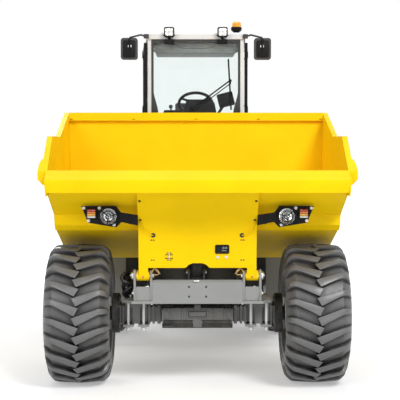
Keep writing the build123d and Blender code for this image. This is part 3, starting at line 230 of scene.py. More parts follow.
def rubber(name, colour, dusty, groove_shade_reach=0.0):
    """Rubber with dust and rubbed edges; corners closer than the reach given are painted black as shade."""
    mat, tree, shader = new_finish(name)
    edges = rounded_normal(tree, 0.004)
    grit = noise(tree, 14.0, 9.0, 0.70)
    tone = blend(tree, spread(tree, grit, 0.46, 0.78, 0.0, dusty), colour, tint(colour, 1.25))
    tone = blend(tree, edge_mask(tree, edges, noise(tree, 22.0, 6.0)), tone, tint(colour, 1.5))
    # painted shade: grooves and corners darkened towards black
    if groove_shade_reach:
        shut_in = spread(tree, corner_shade(tree, groove_shade_reach), 0.70, 1.0, 1.0, 0.0)
        tone = blend(tree, shut_in, tone, tint(colour, 0.03))
    feed(shader, Base_Color=tone, Roughness=spread(tree, grit, 0.3, 0.75, 0.28, 0.48), Specular_IOR_Level=0.5,
         Normal=bump(tree, noise(tree, 240.0, 6.0), 0.22, 0.0012, edges))
    return mat


def moulded(name, colour, rough=0.5, grain=620.0, depth=0.25):
    """Moulded plastic with a fine grain."""
    mat, tree, shader = new_finish(name)
    edges = rounded_normal(tree, 0.003)
    cloud = noise(tree, 6.0, 6.0)
    pale = tuple(min(1.0, c * 1.5 + 0.002) for c in colour)
    feed(shader, Base_Color=blend(tree, spread(tree, cloud, 0.4, 0.75, 0.0, 0.7), colour, pale),
         Roughness=spread(tree, cloud, 0.3, 0.7, rough - 0.06, rough + 0.08), Specular_IOR_Level=0.10,
         Normal=bump(tree, noise(tree, grain, 3.0), depth, 0.0006, edges))
    return mat


def bare_metal(name, colour, rough, scratch):
    mat, tree, shader = new_finish(name)
    edges = rounded_normal(tree, 0.002)
    cloud = noise(tree, 18.0, 7.0, 0.6)
    feed(shader, Base_Color=blend(tree, spread(tree, cloud, 0.35, 0.7, 0.0, 1.0), colour, tint(colour, 0.72)),
         Roughness=spread(tree, cloud, 0.3, 0.7, rough, rough + 0.14), Metallic=1.0,
         Normal=bump(tree, noise(tree, 300.0, 3.0), scratch, 0.0005, edges))
    return mat


def cast_iron(name, colour):
    """Painted casting with a coarse skin."""
    mat, tree, shader = new_finish(name)
    edges = rounded_normal(tree, 0.007)
    grit = noise(tree, 11.0, 8.0, 0.65)
    dust = calc(tree, "MULTIPLY", low_mask(tree, 1.1, 0.3), spread(tree, grit, 0.42, 0.75, 0.0, 0.32))
    tone = blend(tree, spread(tree, noise(tree, 3.0), 0.35, 0.65, 0.0, 1.0), colour, tint(colour, 0.8))
    feed(shader, Base_Color=blend(tree, dust, tone, CASTING_DUST),
         Roughness=spread(tree, grit, 0.3, 0.7, 0.48, 0.66), Specular_IOR_Level=0.30,
         Normal=bump(tree, noise(tree, 120.0, 5.0, 0.6), 0.35, 0.002, edges))
    return mat


def pane(name, colour, rough=0.0):
    """Clear sheet with a faint film of dust."""
    mat, tree, shader = new_finish(name)
    film = spread(tree, noise(tree, 5.0, 6.0), 0.45, 0.8, 0.0, 0.3)
    feed(shader, Base_Color=blend(tree, film, colour, tint(colour, 0.93)),
         Roughness=spread(tree, noise(tree, 7.0, 5.0), 0.4, 0.8, rough, rough + 0.05),
         Transmission_Weight=1.0, IOR=1.25, Specular_IOR_Level=0.25)
    return mat


def lens(name, colour, glow):
    """Coloured lamp lens with fine flutes and a faint glow."""
    mat, tree, shader = new_finish(name)
    wave = add_node(tree, "ShaderNodeTexWave", Scale=70.0, Vector=object_place(tree))
    wave.bands_direction = "X"
    flutes = wave.outputs["Fac"]
    feed(shader, Base_Color=blend(tree, flutes, colour, tint(colour, 0.7)),
         Roughness=spread(tree, noise(tree, 40.0), 0.3, 0.7, 0.06, 0.16), Transmission_Weight=0.25,
         Coat_Weight=0.6, Emission_Color=(*colour, 1.0), Emission_Strength=glow,
         Normal=bump(tree, flutes, 0.25, 0.0015))
    return mat


def vinyl(name, colour):
    """Seat cover with a leather-like grain."""
    mat, tree, shader = new_finish(name)
    cells = add_node(tree, "ShaderNodeTexVoronoi", Scale=260.0, Vector=object_place(tree))
    cloud = spread(tree, noise(tree, 6.0, 6.0), 0.35, 0.75, 0.0, 1.0)
    feed(shader, Base_Color=blend(tree, cloud, colour, tint(colour, 1.7)),
         Roughness=spread(tree, noise(tree, 30.0), 0.3, 0.7, 0.46, 0.62), Sheen_Weight=0.15,
         Normal=bump(tree, cells.outputs["Distance"], 0.4, 0.0008))
    return mat


# numbers after each colour, for paint: roughness, coat, shine, height of the dust, colour of worn edges,
# reach of the painted corner shade; rubber: dust, reach of the painted groove shade; moulded: roughness,
# grain, depth of the grain; bare_metal: roughness, scratches; pane: roughness; lens: glow
FINISH = {
    "yellow": paint("yellow_paint", YELLOW, 0.48, 0.0, 0.05, 0.7, (0.98, 0.74, 0.16)),
    # chassis grey, with painted shade in its shut-in corners
    "grey": paint("chassis_grey_paint", CHASSIS_GREY, 0.42, 0.08, 0.3, 1.0, (0.46, 0.46, 0.45), 0.8),
    "cab": paint("cab_grey_paint", CAB_GREY, 0.36, 0.15, 0.4, 0.6, (0.80, 0.80, 0.80)),
    "rim": paint("rim_grey_paint", RIM_GREY, 0.40, 0.10, 0.3, 0.9, (0.62, 0.62, 0.60)),
    "axle": cast_iron("axle_grey_paint", AXLE_GREY),
    "drive": cast_iron("drive_black_paint", DRIVE_BLACK),
    "weight": cast_iron("weight_casting", WEIGHT_GREY),
    # tyre rubber, with painted shade in the tread's grooves
    "tyre": rubber("tyre_rubber", RUBBER, 0.55, 0.07),
    "seal": rubber("seal_rubber", (0.012, 0.012, 0.012), 0.10),
    "hose": rubber("hose_rubber", (0.016, 0.016, 0.017), 0.25),
    "plastic": moulded("black_plastic", PLASTIC, 0.46),
    "trim": moulded("grey_trim", (0.23, 0.235, 0.24), 0.55, 480.0, 0.35),
    "tan": moulded("tan_line", TAN, 0.42, 300.0, 0.1),
    "steel": bare_metal("plated_steel", (0.62, 0.62, 0.61), 0.26, 0.10),
    # plated steel as pale paint: partly the zinc's own grey, partly a painted highlight standing in for its
    # shine
    "zinc": paint("zinc_with_painted_highlight", (0.78, 0.78, 0.77), 0.32, 0.0, 0.5, 0.3, (0.85, 0.85, 0.84)),
    "chrome": bare_metal("chromed_rod", (0.80, 0.80, 0.81), 0.07, 0.03),
    "mirror": bare_metal("mirror_face", (0.85, 0.87, 0.88), 0.03, 0.01),
    "bowl": bare_metal("lamp_bowl", (0.86, 0.86, 0.86), 0.12, 0.05),
    "glass": pane("cab_glass", (0.93, 0.97, 0.96)),
    "lamp_glass": pane("lamp_glass", (0.96, 0.97, 0.98), 0.02),
    "amber": lens("amber_lens", AMBER, 0.12),
    "amber_pale": lens("amber_pale_lens", (0.97, 0.47, 0.02), 0.12),
    "red": lens("red_lens", RED, 0.05),
    "clear": lens("clear_lens", (0.86, 0.86, 0.84), 0.05),
    "seat": vinyl("seat_vinyl", (0.030, 0.031, 0.034)),
    "trim_dark": moulded("dark_trim", (0.055, 0.056, 0.058), 0.5, 480.0, 0.3),
    "housing": cast_iron("axle_cover_paint", (0.105, 0.107, 0.108)),
    "nipple": moulded("grease_cap", (0.62, 0.16, 0.14), 0.4, 300.0, 0.1),
    "screen": moulded("display_face", (0.010, 0.012, 0.016), 0.18, 200.0, 0.02),
}

# Solids that take each finish
NODE_FINISH = {
    "yellow": ["skip_floor", "skip_beam", "skip_back", "skip_sides", "skip_lip", "skip_shield", "hood"],
    "grey": ["front_chassis", "rear_chassis", "access_steps", "cab_base"],
    "cab": ["cab_floor", "cab_frame", "cab_roof"],
    "rim": ["rim_" + c for c in CORNERS],
    "axle": ["front_axle", "rear_axle"],
    "drive": ["front_shaft", "rear_shaft", "engine", "tip_barrel", "steer_barrel", "side_tanks"],
    "weight": ["counterweight"],
    "tyre": ["tyre_" + c for c in CORNERS],
    "steel": ["front_pins", "steer_pin", "front_axle_clamps", "rear_axle_clamps"],
    "chrome": ["tip_rod", "steer_rod"],
    "plastic": ["mudguards", "headlamp_brackets", "door_left", "door_right", "dashboard", "display_box",
                "steering_wheel", "wiper", "work_lights"],
    "trim_dark": ["mirrors"],
    "seat": ["operator_seat"],
    "glass": ["windscreen", "rear_windows", "door_glass_left", "door_glass_right"],
    "lamp_glass": ["headlamps"],
    "amber": ["beacon", "indicators"],
    "red": ["rear_lamps"],
}


# Node trees

SOCKET_KINDS = {float: "NodeSocketFloat", int: "NodeSocketInt", tuple: "NodeSocketVector"}


def new_tree(name, **inputs):
    """Geometry tree with named inputs and their values, None for a material; gives its inputs and end too."""
    tree = bpy.data.node_groups.new(name, "GeometryNodeTree")
    tree.interface.new_socket("Geometry", in_out="INPUT", socket_type="NodeSocketGeometry")
    for label, value in inputs.items():
        kind = SOCKET_KINDS.get(type(value), "NodeSocketMaterial")
        socket = tree.interface.new_socket(label.replace("_", " "), in_out="INPUT", socket_type=kind)
        if value is not None:
            socket.default_value = value
    tree.interface.new_socket("Geometry", in_out="OUTPUT", socket_type="NodeSocketGeometry")
    return tree, tree.nodes.new("NodeGroupInput").outputs, tree.nodes.new("NodeGroupOutput")


def planted(tree, points, piece, **turn):
    """Real copies of piece on points."""
    copies = add_node(tree, "GeometryNodeInstanceOnPoints", Points=points, Instance=piece, **turn)
    return add_node(tree, "GeometryNodeRealizeInstances", Geometry=copies)


def coated(tree, given, end, shape):
    """Ends a tree with shape in the finish that it is given."""
    feed(end, Geometry=add_node(tree, "GeometryNodeSetMaterial", Geometry=shape, Material=given["Finish"]))
    return tree


def soften_tree():
    """Joins a solid's loose triangles and smooths its round faces, keeping its edges sharp."""
    tree, given, end = new_tree("soften", Sharp_angle=math.radians(32))
    bare = add_node(tree, "GeometryNodeRemoveAttribute", Geometry=given["Geometry"], Name="custom_normal")
    merged = add_node(tree, "GeometryNodeMergeByDistance", Geometry=bare, Distance=0.00002)
    smooth = add_node(tree, "GeometryNodeSetShadeSmooth", Geometry=merged)
    sharp = tree.nodes.new("FunctionNodeCompare")
    plug(sharp.inputs[0], tree.nodes.new("GeometryNodeInputMeshEdgeAngle").outputs["Unsigned Angle"])
    plug(sharp.inputs[1], given["Sharp angle"])
    store = tree.nodes.new("GeometryNodeStoreNamedAttribute")
    store.data_type = "BOOLEAN"
    store.domain = "EDGE"
    feed(store, Geometry=smooth, Name="sharp_edge", Value=sharp)
    feed(end, Geometry=store)
    return tree


def bolt_tree():
    """A hexagon head on a washer at each point, all looking along Facing."""
    tree, given, end = new_tree("bolt_heads", Head_radius=0.012, Head_height=0.009, Washer_radius=0.017,
                                Facing=AHEAD, Finish=None)
    head = add_node(tree, "GeometryNodeMeshCylinder", Vertices=6, Radius=given["Head radius"],
                    Depth=given["Head height"])
    washer = add_node(tree, "GeometryNodeMeshCylinder", Vertices=18, Radius=given["Washer radius"],
                      Depth=0.004)
    rise = add_node(tree, "ShaderNodeCombineXYZ", Z=calc(tree, "MULTIPLY", given["Head height"], 0.5))
    bolt = add_node(tree, "GeometryNodeJoinGeometry",
                    Geometry=add_node(tree, "GeometryNodeTransform", Geometry=head, Translation=rise))
    feed(bolt, Geometry=washer)
    points = add_node(tree, "GeometryNodeMeshToPoints", Mesh=given["Geometry"])
    turn = add_node(tree, "FunctionNodeAlignEulerToVector", Vector=given["Facing"])
    turn.axis = "Z"
    return coated(tree, given, end, planted(tree, points, bolt, Rotation=turn))


def lug_tree():
    """One tyre lug repeated round both halves of the tread, the halves half a pitch apart."""
    tree, given, end = new_tree("tyre_lugs", Lugs_per_half=LUGS, Finish=None)
    count = given["Lugs per half"]
    spots = tree.nodes.new("GeometryNodeMeshLine")
    spots.mode = "OFFSET"
    feed(spots, Count=count, Offset=(0.0, 0.0, 0.0))
    pitch = calc(tree, "DIVIDE", 2 * math.pi, count)
    angle = calc(tree, "MULTIPLY", tree.nodes.new("GeometryNodeInputIndex"), pitch)
    turn = add_node(tree, "ShaderNodeCombineXYZ", X=angle)
    left = planted(tree, spots, given["Geometry"], Rotation=turn)
    shift = add_node(tree, "ShaderNodeCombineXYZ", X=calc(tree, "MULTIPLY", pitch, 0.5))
    mirrored = add_node(tree, "GeometryNodeTransform", Geometry=left, Rotation=shift, Scale=(-1.0, 1.0, 1.0))
    tread = add_node(tree, "GeometryNodeJoinGeometry", Geometry=left)
    feed(tread, Geometry=add_node(tree, "GeometryNodeFlipFaces", Mesh=mirrored))
    return coated(tree, given, end, tread)


def stud_tree():
    """Rows of grip studs over a rectangle."""
    tree, given, end = new_tree("grip_studs", Width=0.2, Depth=0.2, Across=6, Along=6, Stud_radius=0.008,
                                Stud_height=0.006, Finish=None)
    grid = add_node(tree, "GeometryNodeMeshGrid", Size_X=given["Width"], Size_Y=given["Depth"],
                    Vertices_X=given["Across"], Vertices_Y=given["Along"])
    radius = given["Stud radius"]
    stud = add_node(tree, "GeometryNodeMeshCone", Vertices=10, Radius_Top=calc(tree, "MULTIPLY", radius, 0.7),
                    Radius_Bottom=radius, Depth=given["Stud height"])
    points = add_node(tree, "GeometryNodeMeshToPoints", Mesh=grid)
    return coated(tree, given, end, planted(tree, points, stud))


def finish_nodes():
    soften = soften_tree()
    for finish, names in NODE_FINISH.items():
        for name in names:
            node = NODES[name]
            node.data.materials.clear()
            node.data.materials.append(FINISH[finish])
            node.modifiers.new("soften", "NODES").node_group = soften


# Mesh building blocks

def turns(count):
    return [2 * math.pi * i / count for i in range(count)]


def to_mesh(name, bm):
    mesh = bpy.data.meshes.new(name)
    bm.to_mesh(mesh)
    bm.free()
    return mesh


def take_in(bm, part, index=0, place=None):
    """Moves part into bm, with one finish for all its faces."""
    bmesh.ops.recalc_face_normals(part, faces=part.faces)
    for face in part.faces:
        face.material_index = index
    if place is not None:
        part.transform(place)
    mesh = to_mesh("part", part)
    bm.from_mesh(mesh)
    bpy.data.meshes.remove(mesh)


def add_lathe(bm, profile, origin, axis, steps=48, index=0):
    """Round form; profile holds (distance along axis, radius), from pole to pole or as a closed loop."""
    axis = Vector(axis).normalized()
    side = axis.orthogonal().normalized()
    up = axis.cross(side)
    part = bmesh.new()
    rings = []
    for along, radius in profile:
        centre = Vector(origin) + axis * along
        ways = [side * math.cos(a) + up * math.sin(a) for a in turns(steps if radius > 1e-6 else 1)]
        rings.append([part.verts.new(centre + way * radius) for way in ways])
    for a, b in zip(rings, rings[1:]):
        for i in range(steps):
            j = (i + 1) % steps
            ring = [a[i % len(a)], a[j % len(a)], b[j % len(b)], b[i % len(b)]]
            part.faces.new(list(dict.fromkeys(ring)))
    bmesh.ops.remove_doubles(part, verts=part.verts, dist=1e-6)
    take_in(bm, part, index)


def add_rod(bm, p, q, r, steps=16, index=0, edge=0.0):
    """Round bar from p to q, its end edges broken by edge."""
    p, q = Vector(p), Vector(q)
    length = (q - p).length
    profile = [(0.0, 0.0), (0.0, r - edge), (edge, r), (length - edge, r), (length, r - edge), (length, 0.0)]
    add_lathe(bm, profile, p, q - p, steps, index)


def add_plate(bm, outline, depth, place, edge=0.0, index=0):
    """Plate from a flat outline, drawn out by depth along its normal and put in place by a matrix."""
    part = bmesh.new()
    base = part.faces.new([part.verts.new((u, v, 0.0)) for u, v in outline])
    made = bmesh.ops.extrude_face_region(part, geom=[base])["geom"]
    top = [g for g in made if isinstance(g, bmesh.types.BMVert)]
    bmesh.ops.translate(part, verts=top, vec=(0.0, 0.0, depth))
    bmesh.ops.recalc_face_normals(part, faces=part.faces)
    if edge:
        bmesh.ops.bevel(part, geom=list(part.edges), offset=edge, segments=2, affect="EDGES", profile=0.5)
    take_in(bm, part, index, place)


def add_block(bm, low, high, edge=0.004, index=0):
    """Block between two corners with rounded edges."""
    low, high = Vector(low), Vector(high)
    size = high - low
    part = bmesh.new()
    bmesh.ops.create_cube(part, size=1.0, matrix=Matrix.Diagonal((*size, 1.0)))
    bmesh.ops.bevel(part, geom=list(part.edges), offset=edge, segments=2, affect="EDGES", profile=0.5)
    take_in(bm, part, index, Matrix.Translation((low + high) / 2))


def add_tube(bm, points, radius, index=0):
    """Smooth tube along a line of control points, closed at both ends."""
    curve = bpy.data.curves.new("line", "CURVE")
    curve.dimensions = "3D"
    spline = curve.splines.new("NURBS")
    spline.points.add(len(points) - 1)
    for point, at in zip(spline.points, points):
        point.co = (*at, 1.0)
    spline.order_u = 3
    spline.use_endpoint_u = True
    curve.resolution_u = 6
    curve.bevel_depth = radius
    curve.bevel_resolution = 3
    curve.use_fill_caps = True
    line = bpy.data.objects.new("line", curve)
    mesh = bpy.data.meshes.new_from_object(line)
    part = bmesh.new()
    part.from_mesh(mesh)
    bpy.data.objects.remove(line)
    bpy.data.meshes.remove(mesh)
    bmesh.ops.remove_doubles(part, verts=part.verts, dist=1e-6)
    take_in(bm, part, index)


def rounded(width, height, corner, steps=5):
    """Rectangle about the origin with round corners."""
    points = []
    for k, (sx, sy) in enumerate(((1, 1), (-1, 1), (-1, -1), (1, -1))):
        cx, cy = sx * (width / 2 - corner), sy * (height / 2 - corner)
        for i in range(steps + 1):
            a = math.pi / 2 * (k + i / steps)
            points.append((cx + corner * math.cos(a), cy + corner * math.sin(a)))
    return points


def facing(origin, normal=AHEAD, up=UP):
    """Matrix that lays a flat outline at origin, looking along normal with its v axis towards up."""
    z = Vector(normal).normalized()
    x = Vector(up).cross(z).normalized()
    y = z.cross(x)
    turn = Matrix((x, y, z)).transposed().to_4x4()
    return Matrix.Translation(Vector(origin)) @ turn


def raised(place, out, right=0.0, up=0.0):
    """A place moved out along its own normal, and to the right and up in its own plane."""
    return place @ Matrix.Translation((right, up, out))


def ring_plate(bm, outer, inner, depth, place, index=0):
    """Flat ring between two outlines with as many points."""
    part = bmesh.new()
    a = [part.verts.new((u, v, 0.0)) for u, v in outer]
    b = [part.verts.new((u, v, 0.0)) for u, v in inner]
    c = [part.verts.new((u, v, depth)) for u, v in outer]
    d = [part.verts.new((u, v, depth)) for u, v in inner]
    n = len(a)
    for i in range(n):
        j = (i + 1) % n
        for p, q in ((a, b), (b, d), (d, c), (c, a)):
            part.faces.new([p[i], p[j], q[j], q[i]])
    take_in(bm, part, index, place)


def settle(name, source, finishes, body, stands_for=(), sharp=35.0):
    """Finished piece from a bmesh or a mesh, riding on body; finishes follow its face indices."""
    if isinstance(source, bmesh.types.BMesh):
        mesh = to_mesh(name, source)
    else:
        mesh = source
        mesh.materials.clear()
    for finish in finishes:
        mesh.materials.append(FINISH[finish])
    mesh.polygons.foreach_set("use_smooth", [True] * len(mesh.polygons))
    mesh.set_sharp_from_angle(angle=math.radians(sharp))
    piece = bpy.data.objects.new(name, mesh)
    bpy.context.scene.collection.objects.link(piece)
    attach(piece, body)
    if stands_for:
        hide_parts(*stands_for)
    return piece


def grown(tree, mesh, **values):
    """Plain mesh that a tree makes from mesh; values are its inputs, with _ for a space in a name."""
    maker = bpy.data.objects.new("maker", mesh)
    bpy.context.scene.collection.objects.link(maker)
    step = maker.modifiers.new("tree", "NODES")
    step.node_group = tree
    keys = {item.name: item.identifier for item in tree.interface.items_tree if item.in_out == "INPUT"}
    for label, value in values.items():
        step[keys[label.replace("_", " ")]] = value
    result = bpy.data.meshes.new_from_object(maker.evaluated_get(bpy.context.evaluated_depsgraph_get()))
    bpy.data.objects.remove(maker)
    return result


def points_mesh(points):
    mesh = bpy.data.meshes.new("points")
    mesh.from_pydata([tuple(p) for p in points], [], [])
    return mesh


TREES = {"bolts": bolt_tree(), "lugs": lug_tree(), "studs": stud_tree()}


def bolts(name, points, body, looking=AHEAD, head=0.011, height=0.009, finish="steel"):
    mesh = grown(TREES["bolts"], points_mesh(points), Head_radius=head, Head_height=height,
                 Washer_radius=head * 1.5, Facing=looking, Finish=FINISH[finish])
    settle(name, mesh, [finish], body)


# Wheels

NUT_SEAT = 0.073                  # outwards from the wheel's middle, as the next two
CAP_SEAT = 0.118
VALVE_SEAT = 0.075
VALVE_TURN = 0.6                  # radians up from the front
VALVE_CIRCLE = 0.232
HUB_CAP = ((-0.002, 0.0), (-0.002, 0.070), (0.010, 0.066), (0.014, 0.030), (0.020, 0.028), (0.020, 0.0))


def round_place(x, angle, r):
    """Point on a wheel about X: angle is measured up from the front."""
    return Vector((x, -r * math.cos(angle), r * math.sin(angle)))


def lug_mesh():
    """First lug of the tyre's left half, from past the middle of the tread out over the shoulder."""
    part = bmesh.new()
    rings = []
    draft = LUG_DRAFT / TYRE_R
    for x0, rise0, x1, rise1, top, root in LUG_ROWS:
        low, high = LUG_FIRST + rise0 / TYRE_R, LUG_FIRST + rise1 / TYRE_R
        corners = ((x0, low - draft, root), (x0, low, top), (x1, high, top), (x1, high + draft, root))
        rings.append([part.verts.new(round_place(*corner)) for corner in corners])
    for a, b in zip(rings, rings[1:]):
        for i in range(4):
            j = (i + 1) % 4
            part.faces.new([a[i], a[j], b[j], b[i]])
    part.faces.new(rings[0])
    part.faces.new(rings[-1][::-1])
    bmesh.ops.recalc_face_normals(part, faces=part.faces)
    pairs = [{a[k], b[k]} for a, b in zip(rings, rings[1:]) for k in (1, 2)]
    pairs.append({rings[0][1], rings[0][2]})
    long_edges = [e for e in part.edges if set(e.verts) in pairs]
    bmesh.ops.bevel(part, geom=long_edges, offset=0.005, segments=2, affect="EDGES", profile=0.5)
    return to_mesh("lug", part)


def tyre_mesh():
    """Carcass with ribbed sidewalls, and the lugs on it."""
    bm = bmesh.new()
    loop = [(-x, r) for x, r in CARCASS[::-1]] + list(CARCASS[1:])
    add_lathe(bm, loop + [loop[0]], (0.0, 0.0, 0.0), (1.0, 0.0, 0.0), 92)
    bm.from_mesh(grown(TREES["lugs"], lug_mesh(), Lugs_per_half=LUGS, Finish=FINISH["tyre"]))
    return to_mesh("tyre", bm)


def wheels():
    tyre = tyre_mesh()
    for corner, (side, y) in CORNERS.items():
        body = "wheel_" + corner
        out = (side, 0.0, 0.0)
        hub = Matrix.Translation((side * TRACK / 2, y, AXLE_Z))
        mesh = tyre.copy()
        mesh.transform(hub)
        settle("tyre_with_lugs_" + corner, mesh, ["tyre"], body, ["tyre_" + corner], 28.0)
        nuts = [hub @ round_place(side * NUT_SEAT, a, NUT_CIRCLE) for a in turns(WHEEL_NUTS)]
        bolts("wheel_nuts_" + corner, nuts, body, out, 0.0148, 0.022)
        bm = bmesh.new()
        add_lathe(bm, HUB_CAP, hub @ Vector((side * CAP_SEAT, 0.0, 0.0)), out, 40)
        stem = hub @ round_place(side * VALVE_SEAT, VALVE_TURN, VALVE_CIRCLE)
        reach = Vector((side * 0.040, 0.0, 0.0))
        add_rod(bm, stem - reach * 0.1, stem + reach, 0.005, 10, 1, 0.001)
        settle("hub_cap_" + corner, bm, ["axle", "seal"], body)


# Lamps

LAMP_AT = (0.714, -2.056, 1.436)  # middle of the left lamp's back face
LAMP_R = 0.077
# profiles along the lamp's axis: distance ahead, radius
LAMP_SHELL = ((0.0, 0.0), (0.0, LAMP_R), (0.030, LAMP_R), (0.044, LAMP_R - 0.003), (0.047, LAMP_R - 0.007),
              (0.044, LAMP_R - 0.012), (0.030, LAMP_R - 0.013), (0.008, 0.030), (0.006, 0.0))
LAMP_BOWL = ((0.0085, 0.0), (0.0105, 0.012), (0.0145, 0.030), (0.024, 0.050), (0.036, 0.0635),
             (0.034, 0.0638), (0.022, 0.0505), (0.0125, 0.0305), (0.0085, 0.0))
LAMP_BULB = ((0.010, 0.0), (0.010, 0.011), (0.026, 0.010), (0.030, 0.006), (0.031, 0.0))
LAMP_LENS = ((0.036, 0.0), (0.036, 0.0632), (0.039, 0.0632), (0.0425, 0.045), (0.0445, 0.022), (0.045, 0.0))
GUARD_RINGS = (0.020, 0.042)
GUARD_WIRE = 0.0032
GUARD_SPOKES = (40.0, 165.0, 278.0)   # degrees round the left lamp, seen from the front
INDICATOR_LOW = (0.812, -2.094, 1.417)
INDICATOR_HIGH = (0.889, -2.056, 1.497)
BRACKET_FACE = -2.058
BRACKET_BOLTS = ((0.914, 1.5005), (0.788, 1.5005), (0.876, 1.3985), (0.672, 1.366))
ARM_BOLTS = ((0.545, 1.436), (0.545, 1.384))


def lamp_pair(name, build, finishes, stands_for=()):
    """One lamp unit built on the left side and its mirror image on the right, as one piece."""
    bm = bmesh.new()
    build(bm)
    other = bm.copy()
    other.transform(Matrix.Diagonal((-1.0, 1.0, 1.0, 1.0)))
    bmesh.ops.reverse_faces(other, faces=other.faces)
    mesh = to_mesh("other", other)
    bm.from_mesh(mesh)
    bpy.data.meshes.remove(mesh)
    settle(name, bm, finishes, "skip", stands_for)


def headlamp(bm):
    """Housing, reflector bowl, bulb and the guard's rings and spokes."""
    for profile, steps, index in ((LAMP_SHELL, 56, 0), (LAMP_BOWL, 56, 1), (LAMP_BULB, 24, 1)):
        add_lathe(bm, profile, LAMP_AT, AHEAD, steps, index)
    centre = Vector(LAMP_AT) + Vector((0.0, -0.050, 0.0))
    for ring in GUARD_RINGS:
        loop = [(GUARD_WIRE * math.cos(a), ring + GUARD_WIRE * math.sin(a)) for a in turns(8) + [2 * math.pi]]
        add_lathe(bm, loop, centre, AHEAD, 40)
    for angle in GUARD_SPOKES:
        way = Vector((math.cos(math.radians(angle)), 0.0, math.sin(math.radians(angle))))
        end = centre + way * (LAMP_R - 0.006)
        add_rod(bm, centre, end, 0.0036, 10, 0, 0.001)
        add_rod(bm, end, end + Vector((0.0, 0.010, 0.0)), 0.0042, 10, 0, 0.001)


def headlamp_lens(bm):
    add_lathe(bm, LAMP_LENS, LAMP_AT, AHEAD, 56)


def indicator(bm):
    """Housing and four stacked lens bars."""
    (x0, y0, z0), (x1, y1, z1) = INDICATOR_LOW, INDICATOR_HIGH
    add_block(bm, (x0, y0 + 0.012, z0), (x1, y1, z1), 0.004)
    pitch = (z1 - z0 - 0.008) / 4
    for i, index in enumerate((3, 2, 1, 4)):
        low = z0 + 0.004 + i * pitch
        high = low + pitch - 0.0015
        add_block(bm, (x0 + 0.006, y0, low + 0.0015), (x1 - 0.006, y0 + 0.020, high), 0.004, index)


def lamps():
    lamp_pair("headlamp_units", headlamp, ["plastic", "bowl"], ["headlamps"])
    lamp_pair("headlamp_lenses", headlamp_lens, ["lamp_glass"])
    bars = ["amber", "amber_pale", "clear", "red"]
    lamp_pair("indicator_units", indicator, ["plastic"] + bars, ["indicators"])
    for side, word in SIDES:
        spots = [(side * x, BRACKET_FACE, z) for x, z in BRACKET_BOLTS]
        bolts("lamp_bracket_bolts_" + word, spots, "skip", head=0.0090, height=0.010, finish="zinc")
        spots = [(side * x, BRACKET_FACE, z) for x, z in ARM_BOLTS]
        bolts("lamp_arm_bolts_" + word, spots, "skip", head=0.009, height=0.008, finish="plastic")


# Shield fittings

SHIELD_BEND = (-1.962, 1.352)     # y, z of the front face, as the next two
SHIELD_BOTTOM = (-1.918, 1.003)
SHIELD_TOP = (-2.262, 1.634)
SHIELD_CURVE = 0.250              # radius of the bend
VENT_AT = (-0.232, 1.097)         # middle of the round vent, as x, z
VENT_BARS = ((0.007, 0.066, 0.0015), (0.018, 0.004, 0.0010))   # width, height, standing out
SOCKET_AT = (0.200, 1.158)
SOCKET = ((-0.008, 0.0), (-0.008, 0.0095), (0.001, 0.0095), (0.002, 0.0085), (0.001, 0.006), (-0.004, 0.0055),
          (-0.004, 0.0))
SOCKET_BOLT_X = (0.164, 0.234)
SOCKET_BOLT_Z = 1.093
LEAD_HOLES = (-0.361, 0.361)
LEAD_Z = 1.273
GROMMET = ((-0.009, 0.0075), (0.003, 0.0075), (0.0045, 0.0095), (0.0045, 0.017), (0.002, 0.019),
           (-0.001, 0.019), (-0.001, 0.0118), (-0.009, 0.0118), (-0.009, 0.0075))
# x, z and height off the shield along the left lead
LEAD = ((0.361, 1.273, -0.006), (0.363, 1.274, 0.014), (0.388, 1.281, 0.018), (0.425, 1.305, 0.012),
        (0.452, 1.345, 0.009), (0.461, 1.385, 0.008), (0.462, 1.400, 0.010))
PLUG_Z = (1.068, 1.233)           # rows of plugged slots
PLUG_X = (0.356, 0.376)
EDGE_BOLT_X = 0.462
EDGE_BOLT_Z = (1.402, 1.563)


def shield_spot(z):
    """Place on the middle of the shield's front face at height z, and the way the face looks there."""
    corner = Vector(SHIELD_BEND)
    below = (corner - Vector(SHIELD_BOTTOM)).normalized()
    above = (Vector(SHIELD_TOP) - corner).normalized()
    reach = SHIELD_CURVE * math.tan(below.angle(above) / 2)
    start, end = corner - below * reach, corner + above * reach
    middle = start + Vector((-below.y, below.x)) * SHIELD_CURVE
    if start.y < z < end.y:
        y = middle.x + math.sqrt(SHIELD_CURVE ** 2 - (z - middle.y) ** 2)
        look = (middle - Vector((y, z))).normalized()
    else:
        base, run = (start, below) if z <= start.y else (end, above)
        y = base.x + run.x * (z - base.y) / run.y
        look = Vector((-run.y, run.x))
    return Vector((0.0, y, z)), Vector((0.0, look.x, look.y))


def shield_normal(z):
    return shield_spot(z)[1]


def on_shield(x, z, out=0.0):
    """Point on the shield's front face, out from it along its normal."""
    spot, look = shield_spot(z)
    return spot + look * out + Vector((x, 0.0, 0.0))


def shield_vent():
    bm = bmesh.new()
    x, z = VENT_AT
    place = facing(on_shield(x, z), shield_normal(z))
    add_plate(bm, rounded(0.074, 0.074, 0.036, 8), 0.003, raised(place, -0.0125))
    for width, height, out in VENT_BARS:
        add_plate(bm, rounded(width, height, 0.0019, 3), 0.009 + out, raised(place, -0.009), 0.0006, 1)
    settle("shield_vent", bm, ["seal", "steel"], "skip")


